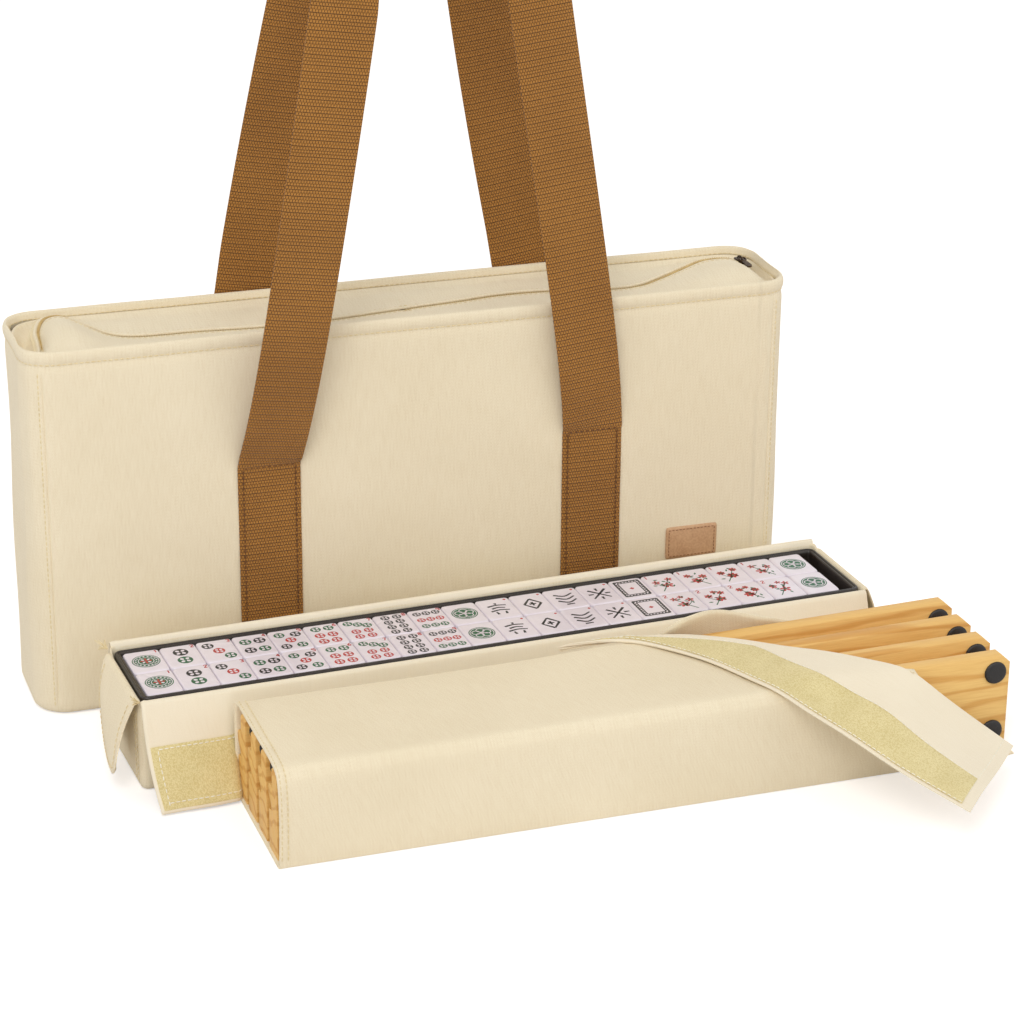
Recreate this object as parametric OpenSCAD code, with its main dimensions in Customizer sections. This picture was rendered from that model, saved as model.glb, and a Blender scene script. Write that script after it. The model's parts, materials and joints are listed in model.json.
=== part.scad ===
// Mahjong carry case: a zipped canvas tote, a fabric tile case with four stacked
// trays of tiles, and a fabric pouch with four wooden racks. The tote stands
// upright, and the two fabric cases stand open in front of it.
// Units are millimetres. +Z is up, -Y is the front of the tote, and the origin
// is the centre of the tote's base, on the surface that everything stands on.

/* [Tote] */
// Overall width of the tote
bag_w = 490; // [400:1:560]
// Depth of the tote, front to back
bag_d = 80; // [70:1:120]
// Height of the tote to the top of its rim
bag_h = 235; // [200:1:300]
// Radius of the tote's upright corners
bag_corner_r = 22; // [14:1:30]
// Distance of each upright seam from the middle of the front
seam_x = 232; // [150:1:232]
// Thickness of the padded canvas panels
panel_t = 3.2; // [2:0.1:5]
// Thickness of the canvas base
base_t = 3; // [2:0.1:5]
// Thickness of the stiff board inside the base
board_t = 2.5; // [1.5:0.1:4]
// Clearance round the base board
board_clear = 0.6; // [0.3:0.1:2]
// Height of the folded hem round the rim
hem_h = 9; // [6:0.5:12]
// How far the hem stands proud of the panels
hem_t = 0.6; // [0.4:0.1:1.2]

/* [Zip] */
// Depth of the zip panels below the rim
zip_drop = 8; // [6:0.5:10]
// Thickness of the canvas zip panels
zip_panel_t = 2; // [1:0.1:2.5]
// Place of the zip at the left end, measured from the middle of the depth
zip_y_left = -4; // [-10:1:10]
// Place of the zip at the right end
zip_y_right = 14; // [-10:1:16]
// Length of the sewn tab at each end of the zip
zip_tab = 18; // [16:1:30]
// Width of each zip tape
tape_w = 10; // [6:1:14]
// Thickness of the zip tape
tape_t = 0.8; // [0.5:0.1:1]
// Width of each row of zip teeth
coil_w = 1.5; // [1:0.1:2]
// Height of the zip teeth
coil_h = 1.6; // [1:0.1:2]
// Length of the zip slider
slider_len = 9; // [7:0.5:12]
// Length of the zip pull
pull_len = 10; // [8:0.5:16]
// Clearance of each zip panel at its hinge and its ends
zip_clear = 0.7; // [0.6:0.1:0.9]

/* [Handles] */
// Width of the webbing
strap_w = 39; // [30:1:45]
// Thickness of the webbing
strap_t = 2.2; // [1.5:0.1:3]
// Distance between the two legs of a handle, where they are sewn
strap_span = 208; // [170:1:240]
// Sideways place of the handles, from the middle of the tote
strap_shift = 6.5; // [-10:0.5:10]
// Height of the cross stitching, where a handle leaves the tote
stitch_z = 151; // [120:1:180]
// Height of the lower end of the sewn webbing
strap_foot_z = 5; // [4:1:40]
// Height at which the straight legs turn into the top loop
leg_top_z = 435; // [400:1:460]
// Height of the top of a handle
handle_top_z = 520; // [490:1:560]
// Half of the front handle's spread at the top of its legs
front_half = 68; // [45:1:80]
// Half of the back handle's spread at the top of its legs
back_half = 57; // [45:1:80]
// How far the front handle stands forward of the tote
front_lean = 20; // [5:1:40]
// How far the back handle leans forward over the tote
back_lean = 34; // [5:1:38]
// Turn of the front handle at the top of its legs, seen from above
front_turn = 18; // [0:1:20]
// Turn of the back handle at the top of its legs, seen from above
back_turn = 12; // [0:1:16]

/* [Patch] */
// Width of the leather patch
patch_w = 35; // [25:1:60]
// Height of the leather patch
patch_h = 22; // [15:1:40]
// Thickness of the leather patch
patch_t = 1.2; // [0.8:0.1:2]
// Sideways place of the patch
patch_x = 180; // [150:1:195]
// Height of the middle of the patch
patch_z = 65; // [40:1:120]

/* [Tiles] */
// Width of a tile
tile_w = 22; // [20:0.5:26]
// Length of a tile
tile_d = 30; // [28:0.5:36]
// Thickness of a tile
tile_t = 12; // [10:0.5:14]
// Gap between neighbouring tiles
tile_gap = 0.3; // [0.2:0.05:0.5]
// Radius of a tile's upright corners
tile_r = 2.2; // [1:0.1:3]
// Tiles in each row
columns = 20; // [16:1:22]

/* [Trays] */
// Thickness of a tray's floor
tray_floor = 1; // [0.8:0.1:2]
// Width of a tray's rim
tray_wall = 4; // [2.5:0.1:5]
// How far a tray's rim stands above the tiles
tray_lip = 0.6; // [0.4:0.1:1.5]
// Finger gap at the right end of each tray
finger_gap = 8; // [7:0.5:16]
// Clearance of the tiles in a tray and of the trays in the case
tray_clear = 0.4; // [0.3:0.05:0.8]
// Clearance under each tile and each tray
stack_clear = 0.3; // [0.25:0.05:0.5]

/* [Tile case] */
// Thickness of the lined canvas walls
case_t = 2.2; // [1.5:0.1:3]
// Thickness of the case's base
case_base_t = 1.9; // [1.5:0.1:3]
// How far the front and end walls stop below the tray's rim
wall_drop = 3.7; // [2:0.1:6]
// How far the back wall rises above the tray's rim
back_rise = 2.8; // [2:0.1:4]
// Thickness of the flaps
flap_t = 1.4; // [1:0.1:2]
// Clearance between a flap and the wall that it hangs from
flap_clear = 0.3; // [0.2:0.05:0.5]
// Height of the front flap's lower edge above the floor
flap_floor = 1; // [0.8:0.1:3]
// How far the free corner of the front flap reaches forward
flap_reach_corner = 31; // [20:1:40]
// How far the rest of the front flap reaches forward
flap_reach = 13; // [10:1:18]
// Length of the free corner of the front flap
flap_corner_len = 45; // [30:1:46]
// Height of the end flaps' lower edges
end_flap_z = 9; // [6:1:16]
// How far the end flaps reach out
end_flap_reach = 13; // [8:1:20]
// Height of the back flap's lower edge
back_flap_z = 20; // [12:1:30]
// How far the back flap reaches out
back_flap_reach = 4; // [3:0.5:6]
// Width of the fastening bands
band_w = 30; // [20:1:32]
// Width of the hook band on the back flap
hook_w = 18; // [10:1:24]
// Thickness of the fastening bands
band_t = 0.9; // [0.6:0.1:1.2]

/* [Rack pouch] */
// Length of a rack
rack_len = 451; // [440:1:460]
// Height of a rack as it stands in the pouch
rack_h = 55.5; // [50:0.5:66]
// Thickness of a rack
rack_t = 19.6; // [18:0.2:24]
// Thickness of a rack's back plate
rack_plate = 9; // [7:0.2:11]
// Chamfer at the corners of a rack
rack_chamfer = 5; // [2:0.5:8]
// Diameter of a rubber foot
foot_d = 12.7; // [9:0.1:14]
// Thickness of a rubber foot
foot_t = 2; // [1.5:0.1:3]
// Distance of a foot's centre from the edges of a rack
foot_inset = 10.5; // [8:0.5:14]
// Thickness of the pouch's canvas
pouch_t = 1.8; // [1.2:0.1:2.5]
// Radius of the pouch's front top corner
pouch_r = 5; // [3:0.5:5]
// How far the pouch reaches past each end of the racks
pouch_end = 0.5; // [0.3:0.1:4]
// Clearance between the racks and round them
rack_clear = 0.3; // [0.25:0.05:0.6]
// Distance from the pouch's right end to where the cover starts to peel open
peel_start_in = 184; // [176:1:232]
// Distance from the right end to where the peel crosses the front top corner
peel_corner_in = 66; // [52:1:80]
// How far the peeled corner falls in front of the pouch
peel_out = 105; // [90:1:110]
// Height of the peel at the right end of the pouch
peel_end_z = 6; // [4:1:12]

/* [Layout] */
// Turn of the tile case, counter-clockwise seen from above
case_turn = 2.5; // [0:0.1:4]
// Left end of the row of tiles
case_x = -198.2; // [-260:0.1:-150]
// Gap between the tote and the right end of the tile case
case_gap = 17.4; // [14:0.2:60]
// Left end of the pouch
pouch_x = -149.3; // [-160:0.1:-149]
// Gap between the tile case's flap and the pouch
pouch_gap = 8.4; // [6:0.2:60]
// Turn of the pouch, counter-clockwise seen from above
pouch_turn = 0.4; // [0:0.1:2]

/* [Hidden] */
$fn = 48;

CANVAS = "#ebe0c6";
LINING = "#f0e8d4";
LOOP = "#e0d59b";
WEBBING = "#97642f";
LEATHER = "#cfa06c";
METAL = "#5a4a3a";
PLASTIC = "#2b2622";
TILE = "#e6dfe6";
WOOD = "#e8c98c";
RUBBER = "#222222";

// --- derived sizes of the tote ---
bag_front = -bag_d / 2;
inner_w = bag_w - 2 * panel_t;
inner_d = bag_d - 2 * panel_t;
inner_r = bag_corner_r - panel_t;
hem_top = 0.8;
zip_z = bag_h - zip_drop;
zip_mid_z = zip_z - zip_panel_t / 2;
tape_top = zip_mid_z + tape_t / 2;
coil_top = tape_top + coil_h;
tab_x = inner_w / 2 - zip_tab;
zip_turn = atan2(zip_y_right - zip_y_left, inner_w);
zip_split = 0.15;
slider_x = inner_w / 2 - slider_len / 2 - 3.5;
chain_edge = zip_split + coil_w;

// --- derived sizes of the tiles and trays ---
ROWS = 2;
TRAYS = 4;
pitch_x = tile_w + tile_gap;
pitch_y = tile_d + tile_gap;
grid_w = columns * pitch_x;
grid_d = ROWS * pitch_y;
well_len = grid_w + tray_clear + finger_gap;
well_depth = grid_d + 2 * tray_clear;
tray_h = tray_floor + stack_clear + tile_t + tray_lip;
tray_pitch = tray_h + stack_clear;
tray_z0 = case_base_t + stack_clear;
rim_z = tray_z0 + (TRAYS - 1) * tray_pitch + tray_h;
tray_edge = tray_clear + tray_wall;
tray_len = well_len + 2 * tray_wall;
tray_depth = well_depth + 2 * tray_wall;

// --- derived sizes of the tile case, in its own frame ---
case_edge = tray_edge + tray_clear + case_t;
case_len = tray_len + 2 * (tray_clear + case_t);
case_depth = tray_depth + 2 * (tray_clear + case_t);
case_u1 = case_len - case_edge;
case_v1 = case_depth - case_edge;
wall_z = rim_z - wall_drop;
back_wall_z = rim_z + back_rise;
root_z = wall_z + flap_clear;
flap_v = -case_edge - flap_clear;
case_y = bag_front - case_gap - case_len * sin(case_turn) - case_v1 * cos(case_turn);

// --- derived sizes of the pouch, in its own frame ---
rack_pitch = rack_t + foot_t + rack_clear;
pouch_d = 2 * (pouch_t + rack_clear) + 4 * rack_pitch - rack_clear;
rack_z = pouch_t + rack_clear;
pouch_h = rack_z + rack_h + rack_clear + pouch_t;
pouch_y = case_y - case_edge - flap_reach - pouch_gap - pouch_d;
pouch_len = rack_len + 2 * pouch_end;
rack_u = pouch_end;
peel_start = pouch_len - peel_start_in;
peel_corner = pouch_len - peel_corner_in;

function mix(a, b, t) = a + (b - a) * t;
function clamp01(t) = max(0, min(1, t));
function smooth(t) = clamp01(t) * clamp01(t) * (3 - 2 * clamp01(t));
function unit(v) = v / norm(v);
function zip_y(x) = mix(zip_y_left, zip_y_right, x / inner_w + 0.5);

// --- shared shapes ---

// A rectangle with true round corners, centred.
module rounded(w, d, r) {
    square([w - 2 * r, d], center = true);
    square([w, d - 2 * r], center = true);
    for (x = [-1, 1], y = [-1, 1])
        translate([x * (w / 2 - r), y * (d / 2 - r)]) circle(r = r);
}

// A rectangle with true round corners, its lower left corner at the origin.
module rounded_from(w, d, r) {
    translate([w / 2, d / 2]) rounded(w, d, r);
}

// A closed solid through a list of rings that have the same number of points.
module loft(rings) {
    m = len(rings[0]);
    n = len(rings);
    polyhedron(
        points = [for (ring = rings) each ring],
        faces = concat(
            [[for (i = [0 : m - 1]) i]],
            [for (k = [0 : n - 2], i = [0 : m - 1]) each [
                [k * m + i, (k + 1) * m + i, k * m + (i + 1) % m],
                [(k + 1) * m + i, (k + 1) * m + (i + 1) % m, k * m + (i + 1) % m]
            ]],
            [[for (i = [m - 1 : -1 : 0]) (n - 1) * m + i]]
        )
    );
}

module in_case() {
    translate([case_x, case_y, 0]) rotate(case_turn) children();
}

module in_pouch() {
    translate([pouch_x, pouch_y, 0]) rotate(pouch_turn) children();
}

// --- tote ---

module bag_wall_plan(proud = 0, inside = 0) {
    difference() {
        rounded(bag_w + 2 * proud, bag_d + 2 * proud, bag_corner_r + proud);
        rounded(inner_w - 2 * inside, inner_d - 2 * inside, inner_r - inside);
    }
}

module bag_panel(y_side) {
    color(CANVAS) translate([0, 0, base_t]) linear_extrude(bag_h - base_t - hem_top)
        intersection() {
            bag_wall_plan();
            translate([-seam_x, y_side < 0 ? -bag_d : 0]) square([2 * seam_x, bag_d]);
        }
}

module bag_end(x_side) {
    color(CANVAS) translate([0, 0, base_t]) linear_extrude(bag_h - base_t - hem_top)
        intersection() {
            bag_wall_plan();
            translate([x_side < 0 ? -bag_w : seam_x, -bag_d])
                square([bag_w - seam_x, 2 * bag_d]);
        }
}

module front_panel() bag_panel(-1);
module back_panel() bag_panel(1);
module left_end() bag_end(-1);
module right_end() bag_end(1);

module bag_base() {
    color(CANVAS) linear_extrude(base_t) rounded(bag_w, bag_d, bag_corner_r);
}

module base_board() {
    color("#c9b48c") translate([0, 0, base_t]) linear_extrude(board_t)
        rounded(inner_w - 2 * board_clear, inner_d - 2 * board_clear, inner_r);
}

module rim_hem() {
    color(CANVAS) difference() {
        translate([0, 0, bag_h - hem_h]) linear_extrude(hem_h) bag_wall_plan(hem_t, 0);
        translate([0, 0, bag_h - hem_h - 1]) linear_extrude(hem_h + 1 - hem_top)
            bag_wall_plan();
    }
}

module leather_patch() {
    color(LEATHER) translate([patch_x, bag_front, patch_z]) rotate([90, 0, 0])
        linear_extrude(patch_t) rounded(patch_w, patch_h, 1.5);
}

// --- zip ---

module zip_sheet(x0, x1) {
    color(CANVAS) translate([0, 0, zip_z - zip_panel_t]) linear_extrude(zip_panel_t)
        intersection() {
            rounded(inner_w, inner_d, inner_r);
            translate([x0, -inner_d]) square([x1 - x0, 2 * inner_d]);
        }
}

module left_zip_tab() zip_sheet(-inner_w, -tab_x);
module right_zip_tab() zip_sheet(tab_x, inner_w);

// One strip that runs beside the zip line, from y offset a to y offset b.
module zip_strip_plan(x0, x1, a, b) {
    polygon([
        [x0, zip_y(x0) + a], [x1, zip_y(x1) + a],
        [x1, zip_y(x1) + b], [x0, zip_y(x0) + b]
    ]);
}

module zip_panel(side) {
    end_x = tab_x - zip_clear;
    edge = side * (inner_d / 2 - zip_clear);
    inner = side * (zip_split + tape_w);
    color(CANVAS) translate([0, 0, zip_z - zip_panel_t]) linear_extrude(zip_panel_t)
        polygon([
            [-end_x, edge], [end_x, edge],
            [end_x, zip_y(end_x) + inner], [-end_x, zip_y(-end_x) + inner]
        ]);
}

module zip_tape(side) {
    end_x = tab_x - zip_clear;
    color(LINING) translate([0, 0, tape_top - tape_t]) linear_extrude(tape_t)
        zip_strip_plan(-end_x, end_x, side * zip_split, side * (zip_split + tape_w));
    color(LOOP) translate([0, 0, tape_top]) linear_extrude(coil_h)
        zip_strip_plan(-end_x, end_x, side * zip_split, side * chain_edge);
}

module front_zip_panel() zip_panel(-1);
module front_zip_tape() zip_tape(-1);
module back_zip_panel() zip_panel(1);
module back_zip_tape() zip_tape(1);

// The last stretch of teeth on each sewn tab, with a stop at its end.
module zip_chain_ends() {
    far = inner_w / 2 - 2.4;
    for (end = [-1, 1]) {
        x0 = end < 0 ? -far : tab_x;
        x1 = end < 0 ? -tab_x : far;
        color(LOOP) translate([0, 0, zip_z]) linear_extrude(coil_top - zip_z)
            zip_strip_plan(x0, x1, -chain_edge, chain_edge);
        color(METAL) translate([end * (far + 0.8), zip_y(end * far), zip_z])
            linear_extrude(coil_top - zip_z + 0.6) square([1.6, 5], center = true);
    }
}

// Places a shape on the zip line at the slider's rest, turned along the zip.
module at_slider() {
    translate([slider_x, zip_y(slider_x), 0]) rotate(zip_turn) children();
}

slider_clear = 0.3;
slider_half = chain_edge + slider_clear + 1;
slider_plate_z = coil_top + slider_clear;
slider_plate_t = 1.2;
bail_z = slider_plate_z + slider_plate_t + 1.6;
bail_r = 0.7;
pull_t = 1.6;
pull_w = 6;
pull_bore_r = bail_r + 0.08;

module zip_slider() {
    color(METAL) at_slider() {
        difference() {
            translate([0, 0, (zip_z + slider_clear + slider_plate_z + slider_plate_t) / 2])
                cube([slider_len, 2 * slider_half,
                    slider_plate_z + slider_plate_t - zip_z - slider_clear], center = true);
            translate([0, 0, slider_plate_z - 5])
                cube([slider_len + 2, 2 * (chain_edge + slider_clear), 10], center = true);
        }
        for (side = [-1, 1])
            translate([-1.2, side * (pull_w / 2 + 0.9) - 0.5, slider_plate_z + slider_plate_t])
                cube([2.4, 1, 2.6]);
        translate([0, pull_w / 2 + 1.3, bail_z]) rotate([90, 0, 0])
            cylinder(r = bail_r, h = pull_w + 2.6);
    }
}

module zip_pull() {
    color(METAL) at_slider() translate([0, 0, bail_z]) {
        difference() {
            union() {
                rotate([90, 0, 0]) cylinder(r = pull_t, h = pull_w, center = true);
                translate([-pull_len, -pull_w / 2, -pull_t / 2])
                    cube([pull_len - 1, pull_w, pull_t]);
            }
            rotate([90, 0, 0]) cylinder(r = pull_bore_r, h = pull_w + 2, center = true);
            translate([-pull_len + 2, 0, -pull_t]) cylinder(r = 1.3, h = 2 * pull_t);
            translate([-pull_len + 2, 0, -pull_t])
                translate([0, -1.3, 0]) cube([pull_len - 6, 2.6, 2 * pull_t]);
        }
    }
}

// --- handles ---

function bezier(p, t) =
    pow(1 - t, 3) * p[0] + 3 * pow(1 - t, 2) * t * p[1]
    + 3 * (1 - t) * t * t * p[2] + t * t * t * p[3];

// Half of a handle's centre line as [spread, height], from the stitching to the top.
LEG_STEPS = 12;
LOOP_STEPS = 12;
function half_loop(half) =
    let (
        foot = [strap_span / 2, stitch_z + 0.3],
        top = [half, leg_top_z],
        slope = unit(top - foot),
        crown = [0, handle_top_z],
        rise = (handle_top_z - leg_top_z) * 0.62,
        curve = [top, top + slope * rise, crown + [half * 0.62, 0], crown]
    )
    concat(
        [for (i = [0 : LEG_STEPS]) mix(foot, top, i / LEG_STEPS)],
        [for (i = [1 : LOOP_STEPS]) bezier(curve, i / LOOP_STEPS)]
    );

// The whole loop, from the left stitching over the top to the right one.
function whole_loop(half) =
    let (h = half_loop(half), n = len(h))
    concat([for (p = h) [-p[0], p[1]]], [for (i = [n - 2 : -1 : 0]) h[i]]);

// How far the webbing has turned on its side, from 0 at the legs to 90 on top.
function twist(z) =
    let (crown = handle_top_z - leg_top_z, from = leg_top_z - 0.53 * crown)
    90 * smooth((z - from) / (handle_top_z - from));

// A point turned about the upright line through a centre.
function turned(p, centre, a) =
    let (d = p - centre)
    [centre[0] + d[0] * cos(a) - d[1] * sin(a),
     centre[1] + d[0] * sin(a) + d[1] * cos(a), p[2]];

// The rings of a handle. side is -1 at the front and 1 at the back.
function handle_rings(side, half, lean, turn) =
    let (
        path = whole_loop(half),
        n = len(path),
        face = side * (bag_d / 2 + hem_t + strap_t / 2 + 0.3),
        free_z = side < 0 ? stitch_z : bag_h + 25,
        settle = 0.176 * (leg_top_z - stitch_z),
        points = [for (p = path)
            let (rise = p[1] - stitch_z)
            [strap_shift + p[0],
             face - (side < 0 ? lean * (1 - exp(-rise / settle))
                              : lean * pow(max(0, p[1] - free_z) / (handle_top_z - free_z), 2)),
             p[1]]]
    )
    [for (i = [0 : n - 1])
        let (
            tangent = i == 0 ? [0, 0, 1] : i == n - 1 ? [0, 0, -1]
                : unit(points[i + 1] - points[i - 1]),
            out = unit(cross(tangent, [0, side, 0])) * -side,
            flat = unit(cross(out, tangent)),
            a = twist(points[i][2]),
            normal = flat * -side * cos(a) + out * sin(a),
            across = cross(tangent, normal),
            centre = [strap_shift, points[i][1], 0],
            spin = turn * clamp01((points[i][2] - free_z) / (leg_top_z - free_z))
        )
        [for (c = [[-1, -1], [1, -1], [1, 1], [-1, 1]])
            turned(points[i] + across * c[0] * strap_w / 2 + normal * c[1] * strap_t / 2,
                centre, spin)]
    ];

module front_handle()
    color(WEBBING) loft(handle_rings(-1, front_half, front_lean, front_turn));

module back_handle()
    color(WEBBING) loft(handle_rings(1, back_half, back_lean, back_turn));

module sewn_strap(side, leg) {
    face_y = side < 0 ? bag_front - strap_t : -bag_front;
    color(WEBBING)
        translate([strap_shift + leg * strap_span / 2 - strap_w / 2, face_y, strap_foot_z])
            cube([strap_w, strap_t, stitch_z - strap_foot_z]);
}

module front_strap_left() sewn_strap(-1, -1);
module front_strap_right() sewn_strap(-1, 1);
module back_strap_left() sewn_strap(1, -1);
module back_strap_right() sewn_strap(1, 1);

// --- tile case ---

module case_slab(u, v, z) {
    color(CANVAS) in_case() translate([u[0], v[0], z[0]])
        cube([u[1] - u[0], v[1] - v[0], z[1] - z[0]]);
}

module case_base() case_slab([-case_edge, case_u1], [-case_edge, case_v1], [0, case_base_t]);

module case_front_wall()
    case_slab([-case_edge, case_u1], [-case_edge, case_t - case_edge], [case_base_t, wall_z]);

module case_back_wall()
    case_slab([-case_edge, case_u1], [case_v1 - case_t, case_v1], [case_base_t, back_wall_z]);

module case_left_wall()
    case_slab([-case_edge, case_t - case_edge], [case_t - case_edge, case_v1 - case_t],
        [case_base_t, wall_z]);

module case_right_wall()
    case_slab([case_u1 - case_t, case_u1], [case_t - case_edge, case_v1 - case_t],
        [case_base_t, wall_z]);

// A strip of the front flap that hangs from the wall's top edge and leans forward
// by a reach, from u0 to u1. It is as long as the flap from the edge, less two
// amounts at its upper and lower ends, and lies between two offsets from its face.
module hanging_strip(u0, u1, reach, upper, lower, near, far) {
    drop = root_z - flap_floor;
    long = norm([reach, drop]);
    in_case() translate([u0, flap_v, root_z]) rotate([-atan2(reach, drop), 0, 0])
        translate([0, -far, lower - long]) cube([u1 - u0, far - near, long - upper - lower]);
}

// The flap's free corner stands further out than the rest of it.
fold_overlap = 2;

module case_front_flap() color(LINING) {
    hanging_strip(1 - case_edge, flap_corner_len, flap_reach_corner, 0, 0, 0, flap_t);
    hanging_strip(flap_corner_len - fold_overlap, case_u1, flap_reach, 0, 0, 0, flap_t);
}

module case_loop_band() color(LOOP) {
    drop = root_z - flap_floor;
    hanging_strip(2 - case_edge, flap_corner_len - 1, flap_reach_corner,
        norm([flap_reach_corner, drop]) - band_w, 0.5, flap_t, flap_t + band_t);
    hanging_strip(flap_corner_len + 1, case_u1 - 1, flap_reach,
        norm([flap_reach, drop]) - band_w, 0.5, flap_t, flap_t + band_t);
}

module case_back_flap() {
    v = case_v1 + flap_clear;
    z = back_wall_z + 0.2;
    r = back_flap_reach;
    color(LINING) in_case() loft([for (u = [-case_edge, case_u1]) [
        [u, v + flap_t, z], [u, v + flap_t + r, back_flap_z],
        [u, v + r, back_flap_z], [u, v, z]
    ]]);
}

module case_hook_band() {
    v = case_v1 + flap_clear;
    r = back_flap_reach;
    z1 = back_flap_z + hook_w;
    at_top = r * (back_wall_z + 0.2 - z1) / (back_wall_z + 0.2 - back_flap_z);
    color(LOOP) in_case() loft([for (u = [-case_edge + 2, case_u1 - 2]) [
        [u, v + at_top, z1], [u, v + r, back_flap_z],
        [u, v + r - band_t, back_flap_z], [u, v + at_top - band_t, z1]
    ]]);
}

// An end flap: side is -1 at the left and 1 at the right.
module end_flap(side) {
    u = side < 0 ? -case_edge - flap_clear : case_u1 + flap_clear;
    color(LINING) in_case() loft([for (v = [-case_edge + 2, case_v1 - case_t - 1])
        let (ring = [
            [u, v, root_z], [u + side * end_flap_reach, v, end_flap_z],
            [u + side * (end_flap_reach + flap_t), v, end_flap_z],
            [u + side * flap_t, v, root_z]
        ])
        side < 0 ? [for (i = [3 : -1 : 0]) ring[i]] : ring
    ]);
}

module case_left_flap() end_flap(-1);
module case_right_flap() end_flap(1);

// --- trays and tiles ---

module tray(k) {
    z = tray_z0 + (k - 1) * tray_pitch;
    color(PLASTIC) in_case() difference() {
        translate([-tray_edge, -tray_edge, z]) linear_extrude(tray_h)
            rounded_from(tray_len, tray_depth, 5);
        translate([-tray_clear, -tray_clear, z + tray_floor]) linear_extrude(tray_h)
            rounded_from(well_len, well_depth, 1.6);
    }
}

module tray_1() tray(1);
module tray_2() tray(2);
module tray_3() tray(3);
module tray_4() tray(4);

module tile_row(k, row) {
    z = tray_z0 + (k - 1) * tray_pitch + tray_floor + stack_clear;
    color(TILE) in_case() for (i = [0 : columns - 1])
        translate([i * pitch_x + tile_gap / 2, row * pitch_y + tile_gap / 2, z])
            linear_extrude(tile_t) rounded_from(tile_w, tile_d, tile_r);
}

module tile_set(k) for (row = [0 : ROWS - 1]) tile_row(k, row);

module tiles_1() tile_set(1);
module tiles_2() tile_set(2);
module tiles_3() tile_set(3);
module tiles_front_row() tile_row(4, 0);
module tiles_back_row() tile_row(4, 1);

// --- rack pouch ---

module pouch_base() color(CANVAS) in_pouch() cube([pouch_len, pouch_d, pouch_t]);

module pouch_back_wall()
    color(CANVAS) in_pouch() translate([0, pouch_d - pouch_t, pouch_t])
        cube([pouch_len, pouch_t, pouch_h - 2 * pouch_t]);

module pouch_hook_band()
    color(LOOP) in_pouch() translate([4, pouch_d, pouch_h - pouch_t - band_w])
        cube([pouch_len - 8, band_t, band_w - 2]);

// The cover's section: front wall, round corner and top.
module cover_section() {
    translate([0, pouch_t]) square([pouch_t, pouch_h - pouch_r - pouch_t]);
    intersection() {
        translate([pouch_r, pouch_h - pouch_r]) difference() {
            circle(r = pouch_r);
            circle(r = pouch_r - pouch_t);
        }
        translate([0, pouch_h - pouch_r]) square([pouch_r, pouch_r]);
    }
    translate([pouch_r, pouch_h - pouch_t]) square([pouch_d - pouch_r, pouch_t]);
}

// Everything beyond the flat plane that the peeled edge lies in.
module beyond_peel() {
    a = [peel_start, pouch_d, pouch_h];
    b = [peel_corner, 0, pouch_h];
    c = [pouch_len, 0, peel_end_z];
    n = unit(cross(b - a, c - a));
    translate(b) rotate([0, acos(n[2]), atan2(n[1], n[0])])
        translate([-2 * pouch_len, -2 * pouch_len, 0]) cube(4 * pouch_len);
}

module pouch_cover() {
    color(CANVAS) in_pouch() difference() {
        rotate([90, 0, 90]) linear_extrude(pouch_len) cover_section();
        beyond_peel();
    }
}

// The slumped front wall at the right end, beside the flap.
crest_run = peel_start_in - peel_corner_in;
apron_tip = [peel_corner + 0.38 * crest_run, -0.324 * peel_out, 0.363 * pouch_h];
flap_gap = 0.35;
module pouch_apron() {
    top = [peel_corner + 3, -flap_gap, pouch_h - 3];
    end = [pouch_len - 2, -flap_gap, peel_end_z];
    color(CANVAS) in_pouch() loft([
        [top, apron_tip, end],
        [for (p = [top, apron_tip, end]) p + [0, -0.8, -1.6]]
    ]);
}

// The line on top along which the flap is folded back, at a share of the depth.
function crest(share) = mix(peel_corner, peel_start, share);

// A slice of the peeled flap: its place in depth, and the offset along the pouch
// and the drop of its left and right edges, as shares of the flap's own sizes.
flap_z = pouch_h + flap_gap;
function slice(v, left, left_drop, right, right_drop) = [
    v, peel_corner + left * crest_run, flap_z - left_drop * pouch_h,
    peel_corner + right * crest_run, flap_z - right_drop * pouch_h
];

// The peeled flap as slices from back to front: [v, left u, left z, right u, right z].
flap_slices = [
    [0.96 * pouch_d, peel_start - 0.22 * crest_run, flap_z, crest(0.96) - 2, flap_z],
    [0.58 * pouch_d, peel_corner - 0.97 * crest_run, flap_z, crest(0.58) - 2, flap_z],
    [0.12 * pouch_d, peel_corner - 0.82 * crest_run, flap_z, crest(0.12) - 2, flap_z],
    slice(-0.04 * peel_out, -0.77, 0.004, 0.03, 0.005),
    slice(-0.17 * peel_out, -0.71, 0.09, 0.06, 0.19),
    slice(-0.34 * peel_out, -0.61, 0.19, 0.38, 0.62),
    slice(-0.65 * peel_out, -0.38, 0.37, 0.1, 0.61),
    slice(-peel_out, -0.15, 0.56, -0.12, 0.6)
];

module pouch_flap() {
    color(LINING) in_pouch() loft([for (s = flap_slices) [
        [s[1], s[0], s[2]], [s[3], s[0], s[4]],
        [s[3], s[0], s[4] + flap_t], [s[1], s[0], s[2] + flap_t]
    ]]);
}

module pouch_loop_band() {
    color(LOOP) in_pouch() loft([for (i = [1 : len(flap_slices) - 1])
        let (
            s = flap_slices[i],
            share = min(1, band_w / max(1, s[3] - s[1])) * min(1, i / 3),
            u1 = mix(s[1], s[3], share),
            z1 = mix(s[2], s[4], share)
        )
        [
            [s[1], s[0], s[2] + flap_t], [u1, s[0], z1 + flap_t],
            [u1, s[0], z1 + flap_t + band_t], [s[1], s[0], s[2] + flap_t + band_t]
        ]
    ]);
}

// --- racks ---

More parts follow.
